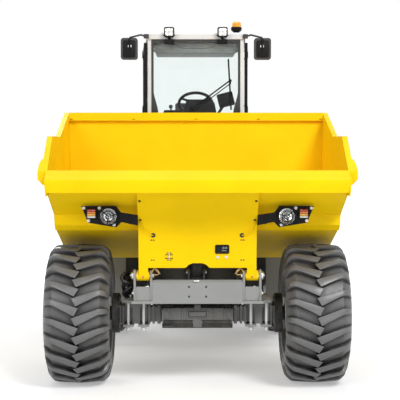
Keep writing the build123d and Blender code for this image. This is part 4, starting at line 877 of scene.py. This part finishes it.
def socket_panel():
    bm = bmesh.new()
    x, z = SOCKET_AT
    look = shield_normal(z)
    place = facing(on_shield(x, z), look)
    ring_plate(bm, rounded(0.116, 0.074, 0.012), rounded(0.097, 0.055, 0.006), 0.006, raised(place, -0.0005))
    add_plate(bm, rounded(0.0965, 0.0545, 0.006), 0.003, raised(place, -0.010), 0.0, 1)
    for u in (0.010, 0.032):
        add_lathe(bm, SOCKET, place @ Vector((u, 0.010, 0.0)), look, 24, 2)
    add_plate(bm, rounded(0.040, 0.008, 0.002), 0.002, raised(place, -0.0075, 0.016, -0.014), 0.0005, 2)
    settle("service_socket_panel", bm, ["plastic", "screen", "trim"], "skip")
    spots = [on_shield(u, SOCKET_BOLT_Z, 0.001) for u in SOCKET_BOLT_X]
    bolts("socket_bolts", spots, "skip", tuple(shield_normal(SOCKET_BOLT_Z)), 0.0085, 0.008)


def shield_fittings():
    """Grommets and slot plugs in the shield, bolts along its edges, and the leads to the lamps."""
    bm = bmesh.new()
    for x in LEAD_HOLES:
        add_lathe(bm, GROMMET, on_shield(x, LEAD_Z), shield_normal(LEAD_Z), 28)
    settle("lead_grommets", bm, ["seal"], "skip")
    bm = bmesh.new()
    for z in PLUG_Z:
        for x in PLUG_X:
            for side in (-1, 1):
                place = facing(on_shield(side * x, z, -0.006), shield_normal(z))
                add_plate(bm, rounded(0.0136, 0.0084, 0.0012, 2), 0.004, place)
    settle("shield_slot_plugs", bm, ["seal"], "skip")
    edge = [on_shield(side * EDGE_BOLT_X, z, 0.001) for side in (-1, 1) for z in EDGE_BOLT_Z]
    bolts("shield_edge_bolts", edge, "skip", tuple(shield_normal(1.5)), 0.007, 0.006, "plastic")
    bm = bmesh.new()
    for side in (-1, 1):
        add_tube(bm, [on_shield(side * x, z, out) for x, z, out in LEAD], 0.0042)
    settle("lamp_leads", bm, ["yellow"], "skip")


# x, y, z along each grease line on the right side; the left ones are mirror images
GREASE_LINES = (
    ((-0.380, -1.893, 0.905), (-0.381, -1.912, 0.950), (-0.364, -1.905, 0.990), (-0.345, -1.895, 1.000),
     (-0.322, -1.900, 0.980), (-0.312, -1.905, 0.955), (-0.335, -1.900, 0.940), (-0.366, -1.895, 0.950)),
    ((-0.352, -1.893, 0.996), (-0.336, -1.905, 0.980), (-0.318, -1.908, 0.962), (-0.306, -1.900, 0.952)))
NIPPLE = ((0.0, 0.0), (-0.004, 0.0085), (0.006, 0.0085), (0.008, 0.005), (0.016, 0.005), (0.019, 0.0035),
          (0.020, 0.0))


def grease_fittings():
    """Grease lines looping below the shield, and the nipples on the hinge bosses."""
    bm = bmesh.new()
    for line in GREASE_LINES:
        for side in (1, -1):
            add_tube(bm, [(side * x, y, z) for x, y, z in line], 0.0034)
    settle("grease_lines", bm, ["tan"], "front_frame")
    bm = bmesh.new()
    for side in (-1, 1):
        add_lathe(bm, NIPPLE, (side * 0.447, -1.889, 0.926), (0.0, -1.0, 0.15), 16)
    settle("grease_nipples", bm, ["nipple"], "skip")


# Chassis and axle fittings

STUD_X = (0.449, 0.578)
STUD_Y = 0.122
AXLE_FACE = {-1: -0.215, 1: 0.185}   # the axle's outer face from its middle, by the way it looks
DRUM_X = 0.655
DRUM_COVER = ((0.0, 0.164), (-0.056, 0.1645), (-0.057, 0.160), (-0.057, 0.061), (-0.0585, 0.061),
              (-0.0585, 0.160), (-0.056, 0.167), (-0.003, 0.167), (0.0015, 0.162), (0.0015, 0.090),
              (0.0, 0.090), (0.0, 0.164))
HUB_BOLTS = 12
HUB_BOLT_CIRCLE = 0.145
COVER_RIBS = (-0.225, -0.125, 0.125, 0.225)
# plates of the axle's cover: x and z from edge to edge, standing out, corner radius
COVER_PLATES = ((-0.2815, 0.2815, 0.5565, 0.6575, 0.0135, 0.008),
                *((x - 0.0075, x + 0.0075, 0.5595, 0.6545, 0.0195, 0.004) for x in COVER_RIBS),
                (-0.0895, 0.0895, 0.5735, 0.6405, 0.0195, 0.004),
                (-0.0275, 0.0275, 0.6445, 0.6875, 0.0195, 0.004),
                (-0.0375, 0.0375, 0.4965, 0.5560, 0.0135, 0.004))


def axle_fittings(word, y, body, look):
    """Cover on the axle's outer face with slopes and bolts, and drum covers; look is -1 at the front."""
    face = y + AXLE_FACE[look]
    ahead = (0.0, float(look), 0.0)

    def plate(bm, x0, x1, z0, z1, out, corner):
        middle = ((x0 + x1) / 2, face - look * 0.001, (z0 + z1) / 2)
        add_plate(bm, rounded(x1 - x0, z1 - z0, corner, 4), out + 0.001, facing(middle, ahead), 0.0025)

    bm = bmesh.new()
    for sizes in COVER_PLATES:
        plate(bm, *sizes)
    ring_plate(bm, rounded(0.150, 0.048, 0.004), rounded(0.142, 0.040, 0.003), 0.0015,
               facing((0.0, face + look * 0.0192, 0.607), ahead), 0)
    settle(word + "_axle_cover", bm, ["housing"], body)

    bm = bmesh.new()
    for x0, x1 in ((-0.284, -0.044), (0.044, 0.284)):
        plate(bm, x0, x1, 0.5285, 0.5555, 0.004, 0.004)
    # black slopes above and below the cover, with a bar at each end
    for z, rise in ((0.6645, 1.0), (0.5055, -1.0)):
        place = facing((0.0, face - look * 0.0225, z), (0.0, look, rise))
        add_plate(bm, rounded(0.584, 0.0625, 0.004, 4), 0.002, place, 0.0006)
        for x in (-0.240, 0.240):
            add_plate(bm, rounded(0.080, 0.006, 0.002, 3), 0.007, raised(place, 0.001, x), 0.001, 1)
    settle(word + "_axle_slopes", bm, ["drive", "housing"], body)
    spots = [(side * 0.258, face + look * 0.0135, z) for side in (-1, 1) for z in (0.640, 0.574)]
    bolts(word + "_axle_bolts", spots, body, ahead, 0.0085, 0.007, "housing")
    for side, label in SIDES:
        inwards = (-side, 0.0, 0.0)
        bm = bmesh.new()
        add_lathe(bm, DRUM_COVER, (side * DRUM_X, y, AXLE_Z), inwards, 48)
        settle(word + "_drum_cover_" + label, bm, ["drive"], body)
        hub = Vector((side * DRUM_X, y, AXLE_Z))
        ring = [hub + round_place(0.0, a, HUB_BOLT_CIRCLE) for a in turns(HUB_BOLTS)]
        bolts(word + "_hub_bolts_" + label, ring, body, inwards, 0.010, 0.009, "housing")


def axle_clamps(word, y, body):
    """Bars under the axle's arms and the studs that pull them up, with threads and nuts."""
    bm = bmesh.new()
    hexagon = [(0.020 * math.cos(a), 0.020 * math.sin(a)) for a in turns(6)]
    stud = [(0.0, 0.0), (0.0, 0.0108), (0.002, 0.0120)]
    for i in range(6):
        z = 0.042 + i * 0.0030
        stud += [(z, 0.0120), (z + 0.0015, 0.0106)]
    stud += [(0.062, 0.0120), (0.238, 0.0120), (0.238, 0.0)]
    for side in (-1, 1):
        for at in STUD_X:
            x = side * at
            add_block(bm, (x - 0.046, y - STUD_Y - 0.034, 0.487), (x + 0.046, y + STUD_Y + 0.034, 0.505),
                      0.005, 0)
            for end in (-1, 1):
                foot = Vector((x, y + end * STUD_Y, 0.467))
                add_lathe(bm, stud, foot, UP, 24, 1)
                nut = facing(foot - Vector((0.0, 0.0, 0.010)), UP, ASTERN)
                add_plate(bm, hexagon, 0.0305, nut, 0.003, 1)
    settle(word + "_axle_clamp_set", bm, ["grey", "zinc"], body, [word + "_axle_clamps"])


TOW_HOLE = ((0.002, 0.0), (0.002, 0.0088), (0.012, 0.0088), (0.012, 0.0))
PIN_CAP = ((0.0, 0.0), (0.0, 0.030), (0.006, 0.033), (0.010, 0.030), (0.010, 0.012), (0.016, 0.010),
           (0.016, 0.0))
EAR_BOLTS = ((-1.765, 0.80), (-1.935, 0.80))   # y, z


def bumper_fittings():
    """Bumper catch, black discs painted in as the shade inside the towing holes, and bolts and pin caps on
    the hinge ears.
    """
    bm = bmesh.new()
    add_block(bm, (-0.034, -1.903, 0.886), (0.014, -1.872, 0.902), 0.003)
    settle("bumper_catch", bm, ["steel"], "front_frame")
    bm = bmesh.new()
    # painted shade: black discs deep in the towing holes
    for x in (-0.07, 0.07):
        for z in (0.765, 0.845):
            add_lathe(bm, TOW_HOLE, (x, -1.9, z), ASTERN, 24)
    settle("tow_hole_painted_shade", bm, ["seal"], "front_frame")
    for side, word in SIDES:
        out = (side, 0.0, 0.0)
        spots = [(side * 0.524, y, z) for y, z in EAR_BOLTS]
        bolts("ear_bolts_" + word, spots, "front_frame", out, 0.012, 0.010)
        bm = bmesh.new()
        add_lathe(bm, PIN_CAP, (side * 0.5375, -1.850, 0.934), out, 32)
        settle("hinge_pin_cap_" + word, bm, ["steel"], "front_frame")


# x, y, z of each hose from the chassis down to the axle
HOSES = (((-0.520, -1.60, 0.935), (-0.575, -1.66, 0.945), (-0.632, -1.69, 0.915), (-0.628, -1.70, 0.870),
          (-0.560, -1.69, 0.852), (-0.540, -1.67, 0.822), (-0.585, -1.68, 0.795), (-0.622, -1.68, 0.770),
          (-0.600, -1.66, 0.735), (-0.560, -1.64, 0.725)),
         ((-0.520, -1.56, 0.905), (-0.560, -1.63, 0.915), (-0.615, -1.655, 0.885), (-0.600, -1.66, 0.835),
          (-0.555, -1.65, 0.805), (-0.570, -1.64, 0.765), (-0.585, -1.62, 0.725)),
         ((-0.520, -1.52, 0.870), (-0.590, -1.58, 0.865), (-0.632, -1.61, 0.825), (-0.610, -1.60, 0.770),
          (-0.590, -1.585, 0.725)))
TOP_FERRULE = ((-0.002, 0.0), (-0.002, 0.020), (0.022, 0.020), (0.026, 0.017), (0.026, 0.0))
LOW_FERRULE = ((-0.004, 0.0), (-0.004, 0.020), (0.020, 0.020), (0.024, 0.017), (0.024, 0.0))


def hose_bundle():
    """Hoses from the front chassis down to the axle, beside the right front wheel, with their ferrules."""
    bm = bmesh.new()
    for hose in HOSES:
        add_tube(bm, hose, 0.0165)
    for hose in HOSES:
        add_lathe(bm, TOP_FERRULE, (-0.524, *hose[0][1:]), (-1.0, -0.4, 0.1), 12, 1)
    for hose in HOSES:
        add_lathe(bm, LOW_FERRULE, (*hose[-1][:2], 0.7285), UP, 12, 1)
    settle("hydraulic_hoses", bm, ["hose", "steel"], "front_frame")


# Cab

CAB_FRONT = 0.050
CAB_BACK = 1.290
CAB_FRONT_HALF = 0.470
CAB_EAVES = 3.038
HEADER_Z = 3.013                  # top of the windscreen
SILL_TOP = 1.620
DOOR_FRONT = (0.476, 0.054)       # inner face of the left door at its front and rear edge, as x, y
DOOR_REAR = (0.521, 0.969)
DOOR_Z = (1.670, 2.963)           # glazed height of the doors
DOOR_FRAME = 0.042
GRIP_POSTS = (1.93, 2.13)         # heights of the pull handle's posts
BEACON_AT = (0.400, 0.130)
ROOF_TOP = 3.104
BEACON_TOP = 3.223
MIRROR_AT = (0.645, -0.065, 2.935)
MIRROR_STAY_X = 0.640


def windscreen_seal():
    """Black rubber and border round the windscreen, lapping the posts and wider in its lower corners."""
    bm = bmesh.new()
    half, inner = CAB_FRONT_HALF - 0.034, CAB_FRONT_HALF - 0.057
    low, high, glass_low = SILL_TOP - 0.010, CAB_EAVES - 0.001, SILL_TOP + 0.045
    middle = (low + high) / 2
    place = facing((0.0, CAB_FRONT + 0.0003, middle))
    shift = (glass_low + HEADER_Z) / 2 - middle
    hole = [(u, v + shift) for u, v in rounded(2 * inner, HEADER_Z - glass_low, 0.045, 8)]
    ring_plate(bm, rounded(2 * half, high - low, 0.008, 8), hole, 0.0035, place)
    # curved corners of the border: x drawn in towards the foot
    top, foot, reach = 2.56, 2.30, 0.048
    edge = inner + 0.002
    shares = [i / 10 for i in range(11)]
    for side in (-1, 1):
        curve = [(side * edge, foot)]
        for t in shares:
            curve.append((side * (edge - reach * math.sin(math.pi / 2 * t) ** 2), top - (top - foot) * t))
        add_plate(bm, [(u, v - middle) for u, v in curve], 0.003, place)
    settle("windscreen_border", bm, ["seal"], "rear_frame")


def headliner():
    """Moulded roof lining with its front lip, two dished panels and a line pressed between them."""
    bm = bmesh.new()
    half = CAB_FRONT_HALF - 0.052
    low, high = 2.908, HEADER_Z - 0.001
    ahead = CAB_FRONT + 0.070
    lip = facing((0.0, CAB_FRONT + 0.105, (low + high) / 2))
    add_plate(bm, rounded(2 * half, high - low, 0.040, 6), 0.030, lip, 0.010)
    add_block(bm, (-half, CAB_FRONT + 0.085, 2.950), (half, CAB_BACK - 0.075, high), 0.020)
    for x in (-0.305, 0.305):
        add_plate(bm, rounded(0.150, 0.046, 0.022, 6), 0.004, facing((x, ahead + 0.0065, 2.958)), 0.0015)
    curve = ((-0.205, 3.006), (-0.180, 2.968), (-0.120, 2.957), (0.0, 2.955), (0.120, 2.957), (0.180, 2.968),
             (0.205, 3.006))
    add_tube(bm, [(x, ahead + 0.0045, z) for x, z in curve], 0.0022, 1)
    settle("roof_lining", bm, ["trim", "seal"], "rear_frame")


def beacon():
    bm = bmesh.new()
    base = (*BEACON_AT, ROOF_TOP)
    add_lathe(bm, [(0.0, 0.0), (0.0, 0.030), (0.014, 0.030), (0.022, 0.046), (0.040, 0.054), (0.056, 0.054),
                   (0.060, 0.050), (0.060, 0.0)], base, UP, 48, 0)
    flutes = [(0.060, 0.0), (0.060, 0.047)]
    for i in range(6):
        z = 0.062 + i * 0.006
        flutes += [(z, 0.0475), (z + 0.003, 0.0492), (z + 0.0055, 0.0475)]
    flutes += [(0.104, 0.044), (0.112, 0.034), (0.117, 0.020), (BEACON_TOP - ROOF_TOP - 0.0005, 0.0)]
    add_lathe(bm, flutes, base, UP, 48, 1)
    settle("beacon_unit", bm, ["plastic", "amber_pale"], "rear_frame", ["beacon"])


def work_lights():
    bm = bmesh.new()
    for x in (-0.260, 0.260):
        place = facing((x, -0.0345, 3.1025))
        ring_plate(bm, rounded(0.094, 0.090, 0.014), rounded(0.078, 0.074, 0.010), 0.006, place)
        add_plate(bm, rounded(0.079, 0.075, 0.010), 0.0035, place, 0.0008, 1)
        for u in (-0.019, 0.019):
            for v in (-0.018, 0.018):
                add_lathe(bm, [(0.003, 0.0), (0.003, 0.014), (0.0045, 0.014), (0.0060, 0.008), (0.0062, 0.0)],
                          place @ Vector((u, v, 0.0)), AHEAD, 16, 2)
        add_rod(bm, (x - 0.056, -0.004, 3.0725), (x + 0.056, -0.004, 3.0725), 0.006, 12, 0, 0.001)
    settle("work_light_faces", bm, ["plastic", "clear", "bowl"], "rear_frame")


def mirror_faces():
    """Glass and back panel of each mirror, with the knuckle, clamp and bent stay that carry it."""
    bm = bmesh.new()
    at, y, z = MIRROR_AT
    # x, y from the mirror's middle, z
    stay = ((0.637, 0.0, 3.044), (0.638, -0.030, 3.043), (0.644, -0.044, 3.015), (0.644, -0.042, 2.985),
            (0.640, -0.040, 2.962))
    for side in (-1, 1):
        glass = facing((side * at, y + 0.030, z), ASTERN)
        add_plate(bm, rounded(0.147, 0.190, 0.020), 0.002, glass, 0.0006)
        panel = facing((side * at, y - 0.030, z - 0.002))
        add_plate(bm, rounded(0.122, 0.166, 0.016), 0.0035, panel, 0.0015, 1)
        x = side * MIRROR_STAY_X
        add_lathe(bm, [(0.0, 0.0), (0.0, 0.020), (0.006, 0.018), (0.010, 0.010), (0.010, 0.0)],
                  (x, y - 0.033, 2.958), AHEAD, 20, 2)
        add_block(bm, (x - 0.011, y - 0.044, 2.925), (x + 0.011, y - 0.032, 2.990), 0.004, 1)
        add_tube(bm, [(side * u, y + v, w) for u, v, w in stay], 0.0085, 1)
    settle("mirror_faces", bm, ["mirror", "plastic", "steel"], "rear_frame")


def door_trim(side, word):
    """Seal round the door's glass, and a pull handle."""
    bm = bmesh.new()
    low = Vector((side * DOOR_FRONT[0], DOOR_FRONT[1], 0.0))
    edge = Vector((side * DOOR_REAR[0], DOOR_REAR[1], 0.0)) - low
    run = edge.normalized()
    out = Vector((side * run.y, -abs(run.x), 0.0))
    middle = low + edge / 2 + out * 0.021 + Vector((0.0, 0.0, sum(DOOR_Z) / 2))
    width, height = edge.length - 2 * DOOR_FRAME - 0.002, DOOR_Z[1] - DOOR_Z[0] - 0.002
    ring_plate(bm, rounded(width, height, 0.030, 6), rounded(width - 0.030, height - 0.030, 0.022, 6), 0.004,
               facing(middle, out), 0)
    grip = low + run * 0.062 + out * 0.036
    for z in GRIP_POSTS:
        post = grip + Vector((0.0, 0.0, z))
        add_rod(bm, post - out * 0.008, post + out * 0.030, 0.008, 12, 1, 0.001)
    bar = grip + out * 0.030
    add_rod(bm, bar + Vector((0.0, 0.0, 1.915)), bar + Vector((0.0, 0.0, 2.145)), 0.010, 14, 1, 0.003)
    settle("door_trim_" + word, bm, ["seal", "plastic"], "door_" + word)


def controls():
    """Face and keys of the display box, and a lever with its knob on the dash."""
    bm = bmesh.new()
    lean = Matrix.Rotation(math.radians(-14), 4, "Y")
    place = Matrix.Translation((0.303, 0.3551, 2.460)) @ lean @ facing((0.0, 0.0, 0.0), ASTERN)
    add_plate(bm, rounded(0.138, 0.110, 0.008), 0.0025, place, 0.0006)
    for u in (-0.045, -0.015, 0.015, 0.045):
        add_lathe(bm, [(0.0, 0.0), (0.0, 0.006), (0.004, 0.005), (0.004, 0.0)],
                  place @ Vector((u, -0.061, 0.001)), ASTERN, 12, 1)
    add_tube(bm, [(-0.230, 0.290, 2.22), (-0.245, 0.330, 2.30), (-0.250, 0.350, 2.38)], 0.008, 1)
    add_lathe(bm, [(0.0, 0.0), (0.004, 0.016), (0.020, 0.021), (0.034, 0.016), (0.040, 0.0)],
              (-0.250, 0.350, 2.372), (0.0, 0.15, 1.0), 20, 1)
    settle("dash_controls", bm, ["screen", "trim_dark"], "rear_frame")


# Operator's seat

SEAT_LEAN = math.atan2(0.070, 0.510)
BOLSTER = (0.022, 0.80, 0.13)     # height, place across the pad from 0 to 1, width
RAIL = (0.009, 0.66, 0.03)        # sewn line beside each bolster: depth, place, width
SEAM = (0.010, 0.035)             # depth and width of a sewn channel


def swell(height, middle, width, at):
    return height * math.exp(-((at - middle) / width) ** 2)


def cushion(size, crown, pull, channels, edge):
    """Crowned pad about the origin: its sides draw in between the corners and sewn channels cross its top."""
    part = bmesh.new()
    bmesh.ops.create_cube(part, size=2.0)
    bmesh.ops.subdivide_edges(part, edges=list(part.edges), cuts=27, use_grid_fill=True)
    half = Vector(size) / 2
    for vert in part.verts:
        u, v, w = vert.co
        point = Vector((u * half.x, v * half.y, w * half.z))
        core = Vector([max(-h + edge, min(h - edge, c)) for c, h in zip(point, half)])
        off = point - core
        reach = max(abs(c) for c in off)
        if reach > 1e-9:
            off = off.normalized() * reach
        point = core + off
        point.x *= 1.0 - pull * (1.0 - v * v) * (1.0 - w * w * 0.5)
        point.y *= 1.0 - pull * (1.0 - u * u) * (1.0 - w * w * 0.5)
        if w > 0.0:
            point.z += crown * (1.0 - u ** 4) * (1.0 - v ** 4) * w
            sewn = swell(*RAIL, abs(u))
            if abs(u) < RAIL[1]:
                sewn += sum(swell(SEAM[0], c, SEAM[1], v) for c in channels)
            point.z += (swell(*BOLSTER, abs(u)) - sewn) * w
        vert.co = point
    return part


def operator_seat():
    """Base and back cushions of the seat, and a shell behind the back."""
    upright = Matrix.Rotation(math.pi / 2 - SEAT_LEAN, 4, "X")
    bm = bmesh.new()
    base = cushion((0.456, 0.496, 0.098), 0.012, 0.03, (-0.45, 0.0, 0.45), 0.034)
    take_in(bm, base, 0, Matrix.Translation((0.0, 0.890, 1.910)))
    back = cushion((0.436, 0.498, 0.072), 0.012, 0.03, (-0.40, 0.10, 0.55), 0.030)
    take_in(bm, back, 0, Matrix.Translation((0.0, 1.150, 2.213)) @ upright)
    seat = settle("seat_cushions", bm, ["seat"], "rear_frame", ["operator_seat"], 60.0)
    bm = bmesh.new()
    shell = Matrix.Translation((0.0, 1.198, 2.205)) @ upright
    add_plate(bm, rounded(0.404, 0.470, 0.060, 6), 0.020, raised(shell, -0.014), 0.006)
    settle("seat_back_shell", bm, ["plastic"], "rear_frame")


# Rear

# middle of each step's tread: x, y, z and width
TREADS = ((0.846, 0.225, 0.445, 0.220), (0.836, 0.225, 0.695, 0.200), (0.826, 0.225, 0.940, 0.180))
FILLER_AT = (0.560, 0.575, 1.169)
FILLER_CAP = ((0.0, 0.0), (0.0, 0.040), (0.022, 0.040), (0.026, 0.046), (0.048, 0.046), (0.054, 0.040),
              (0.054, 0.0))
LATCH_X = 0.470
HANDLE_Z = 1.655
HANDLE_Y = 2.300


def rear_lamp_units():
    bm = bmesh.new()
    for side in (-1, 1):
        low, high = sorted((side * 0.356, side * 0.524))
        add_block(bm, (low, 2.315, 0.796), (high, 2.345, 0.894), 0.006)
        width = (high - low - 0.016) / 3
        for i, index in enumerate((1, 2, 3) if side > 0 else (3, 2, 1)):
            x = low + 0.008 + i * width
            add_block(bm, (x + 0.002, 2.335, 0.806), (x + width - 0.002, 2.353, 0.884), 0.005, index)
    settle("rear_lamp_units", bm, ["plastic", "clear", "red", "amber"], "rear_frame", ["rear_lamps"])


def step_studs():
    for side, word in SIDES:
        bm = bmesh.new()
        for x, y, z, width in TREADS:
            mesh = grown(TREES["studs"], points_mesh([]), Width=width, Depth=0.230, Across=6, Along=7,
                         Stud_radius=0.011, Stud_height=0.005, Finish=FINISH["grey"])
            mesh.transform(Matrix.Translation((side * x, y, z)))
            bm.from_mesh(mesh)
        settle("step_studs_" + word, bm, ["grey"], "rear_frame")


def filler_caps():
    bm = bmesh.new()
    at, y, z = FILLER_AT
    for side in (-1, 1):
        add_lathe(bm, FILLER_CAP, (side * at, y, z), UP, 32)
        for a in turns(6):
            way = Vector((math.cos(a), math.sin(a), 0.0)) * 0.044
            low, high = Vector((side * at, y, z + 0.027)), Vector((side * at, y, z + 0.051))
            add_rod(bm, low + way, high + way, 0.006, 10, 0, 0.002)
    settle("filler_caps", bm, ["plastic"], "rear_frame")


def hood_fittings():
    """Latches on the hood's tail, and a grab handle above them."""
    bm = bmesh.new()
    for x in (-LATCH_X, LATCH_X):
        add_block(bm, (x - 0.020, 2.268, 1.02), (x + 0.020, 2.283, 1.10), 0.005)
        add_rod(bm, (x, 2.280, 1.045), (x, 2.290, 1.045), 0.012, 16, 1, 0.002)
    for x in (-0.10, 0.10):
        add_rod(bm, (x, 2.268, HANDLE_Z), (x, HANDLE_Y, HANDLE_Z), 0.009, 12, 0, 0.002)
    add_rod(bm, (-0.112, HANDLE_Y, HANDLE_Z), (0.112, HANDLE_Y, HANDLE_Z), 0.010, 14, 0, 0.003)
    settle("hood_latches", bm, ["plastic", "steel"], "hood")


def small_pieces():
    for build in (wheels, lamps, shield_vent, socket_panel, shield_fittings, grease_fittings):
        build()
    axles = (("front", FRONT_AXLE, "front_frame", -1), ("rear", REAR_AXLE, "rear_frame", 1))
    for word, y, body, look in axles:
        axle_fittings(word, y, body, look)
        axle_clamps(word, y, body)
    for build in (bumper_fittings, hose_bundle, windscreen_seal, headliner, beacon, work_lights,
                  mirror_faces):
        build()
    for side, word in SIDES:
        door_trim(side, word)
    for build in (controls, operator_seat, rear_lamp_units, step_studs, filler_caps, hood_fittings):
        build()


# Stage

AMBIENT = 0.32                    # strength of the world's light
# floor's own glow: distance from the machine's middle, strength
FLOOR_NEAR = (2.6, 0.36)
FLOOR_FAR = (8.0, 1.0)
# rays that meet the white backdrop
BACKDROP_RAYS = ("Is Camera Ray", "Is Glossy Ray", "Is Transmission Ray")
# studio lamps: name, place, aim, size, watts
LAMPS = (("key", (5.5, -12.0, 11.0), (0.0, -0.8, 1.2), 5.0, 1480.0),
         ("front", (3.0, -12.5, 0.9), (0.0, -1.5, 0.9), 1.6, 90.0),
         ("fill", (-6.0, -11.0, 6.0), (0.0, -0.8, 1.0), 5.0, 420.0),
         ("top", (0.0, 1.0, 9.0), (0.0, 0.0, 0.0), 6.0, 260.0),
         ("rim", (-3.5, 8.0, 6.0), (0.0, 0.5, 1.5), 4.0, 260.0))


def seen_rays(tree, *kinds):
    """1 for rays of the named kinds and 0 for all others."""
    path = tree.nodes.new("ShaderNodeLightPath")
    total = path.outputs[kinds[0]]
    for kind in kinds[1:]:
        total = calc(tree, "MAXIMUM", total, path.outputs[kind])
    return total


def floor_finish():
    """Pale studio floor that keeps the machine's soft shadow and fades to plain white away from it."""
    mat, tree, shader = new_finish("studio_floor")
    away = tree.nodes.new("ShaderNodeVectorMath")
    away.operation = "LENGTH"
    plug(away.inputs[0], object_place(tree))
    glow = spread(tree, away.outputs["Value"], FLOOR_NEAR[0], FLOOR_FAR[0], FLOOR_NEAR[1], FLOOR_FAR[1])
    seen = calc(tree, "MULTIPLY", seen_rays(tree, *BACKDROP_RAYS), glow)
    feed(shader, Base_Color=(0.80, 0.80, 0.80, 1.0), Roughness=0.8, Specular_IOR_Level=0.0,
         Emission_Color=(1.0, 1.0, 1.0, 1.0), Emission_Strength=seen)
    return mat


def stage():
    bpy.ops.mesh.primitive_plane_add(size=90.0, location=(0.0, 0.0, 0.0))
    floor = bpy.context.object
    floor.name = "studio_floor"
    floor.data.materials.append(floor_finish())
    world = bpy.data.worlds.new("studio")
    bpy.context.scene.world = world
    world.use_nodes = True
    tree = world.node_tree
    seen = seen_rays(tree, *BACKDROP_RAYS)
    feed(tree.nodes["Background"], Color=(1.0, 1.0, 1.0, 1.0),
         Strength=spread(tree, seen, 0.0, 1.0, AMBIENT, 1.0))
    for name, at, aim, size, watts in LAMPS:
        light = bpy.data.lights.new(name, "AREA")
        light.shape = "DISK"
        light.size = size
        light.energy = watts
        lamp = bpy.data.objects.new(name, light)
        lamp.location = at
        lamp.rotation_euler = (Vector(aim) - Vector(at)).to_track_quat("-Z", "Y").to_euler()
        bpy.context.scene.collection.objects.link(lamp)


def camera():
    data = bpy.data.cameras.new("camera")
    data.sensor_width = 36.0
    data.lens = FOCAL / IMAGE * data.sensor_width
    eye = bpy.data.objects.new("camera", data)
    eye.location = CAMERA_AT
    way = Vector((math.sin(YAW), math.cos(YAW), -math.tan(PITCH_DOWN)))
    eye.rotation_euler = way.to_track_quat("-Z", "Y").to_euler()
    bpy.context.scene.collection.objects.link(eye)
    bpy.context.scene.camera = eye


finish_nodes()
small_pieces()
stage()
camera()
bpy.context.scene.view_settings.view_transform = "Standard"
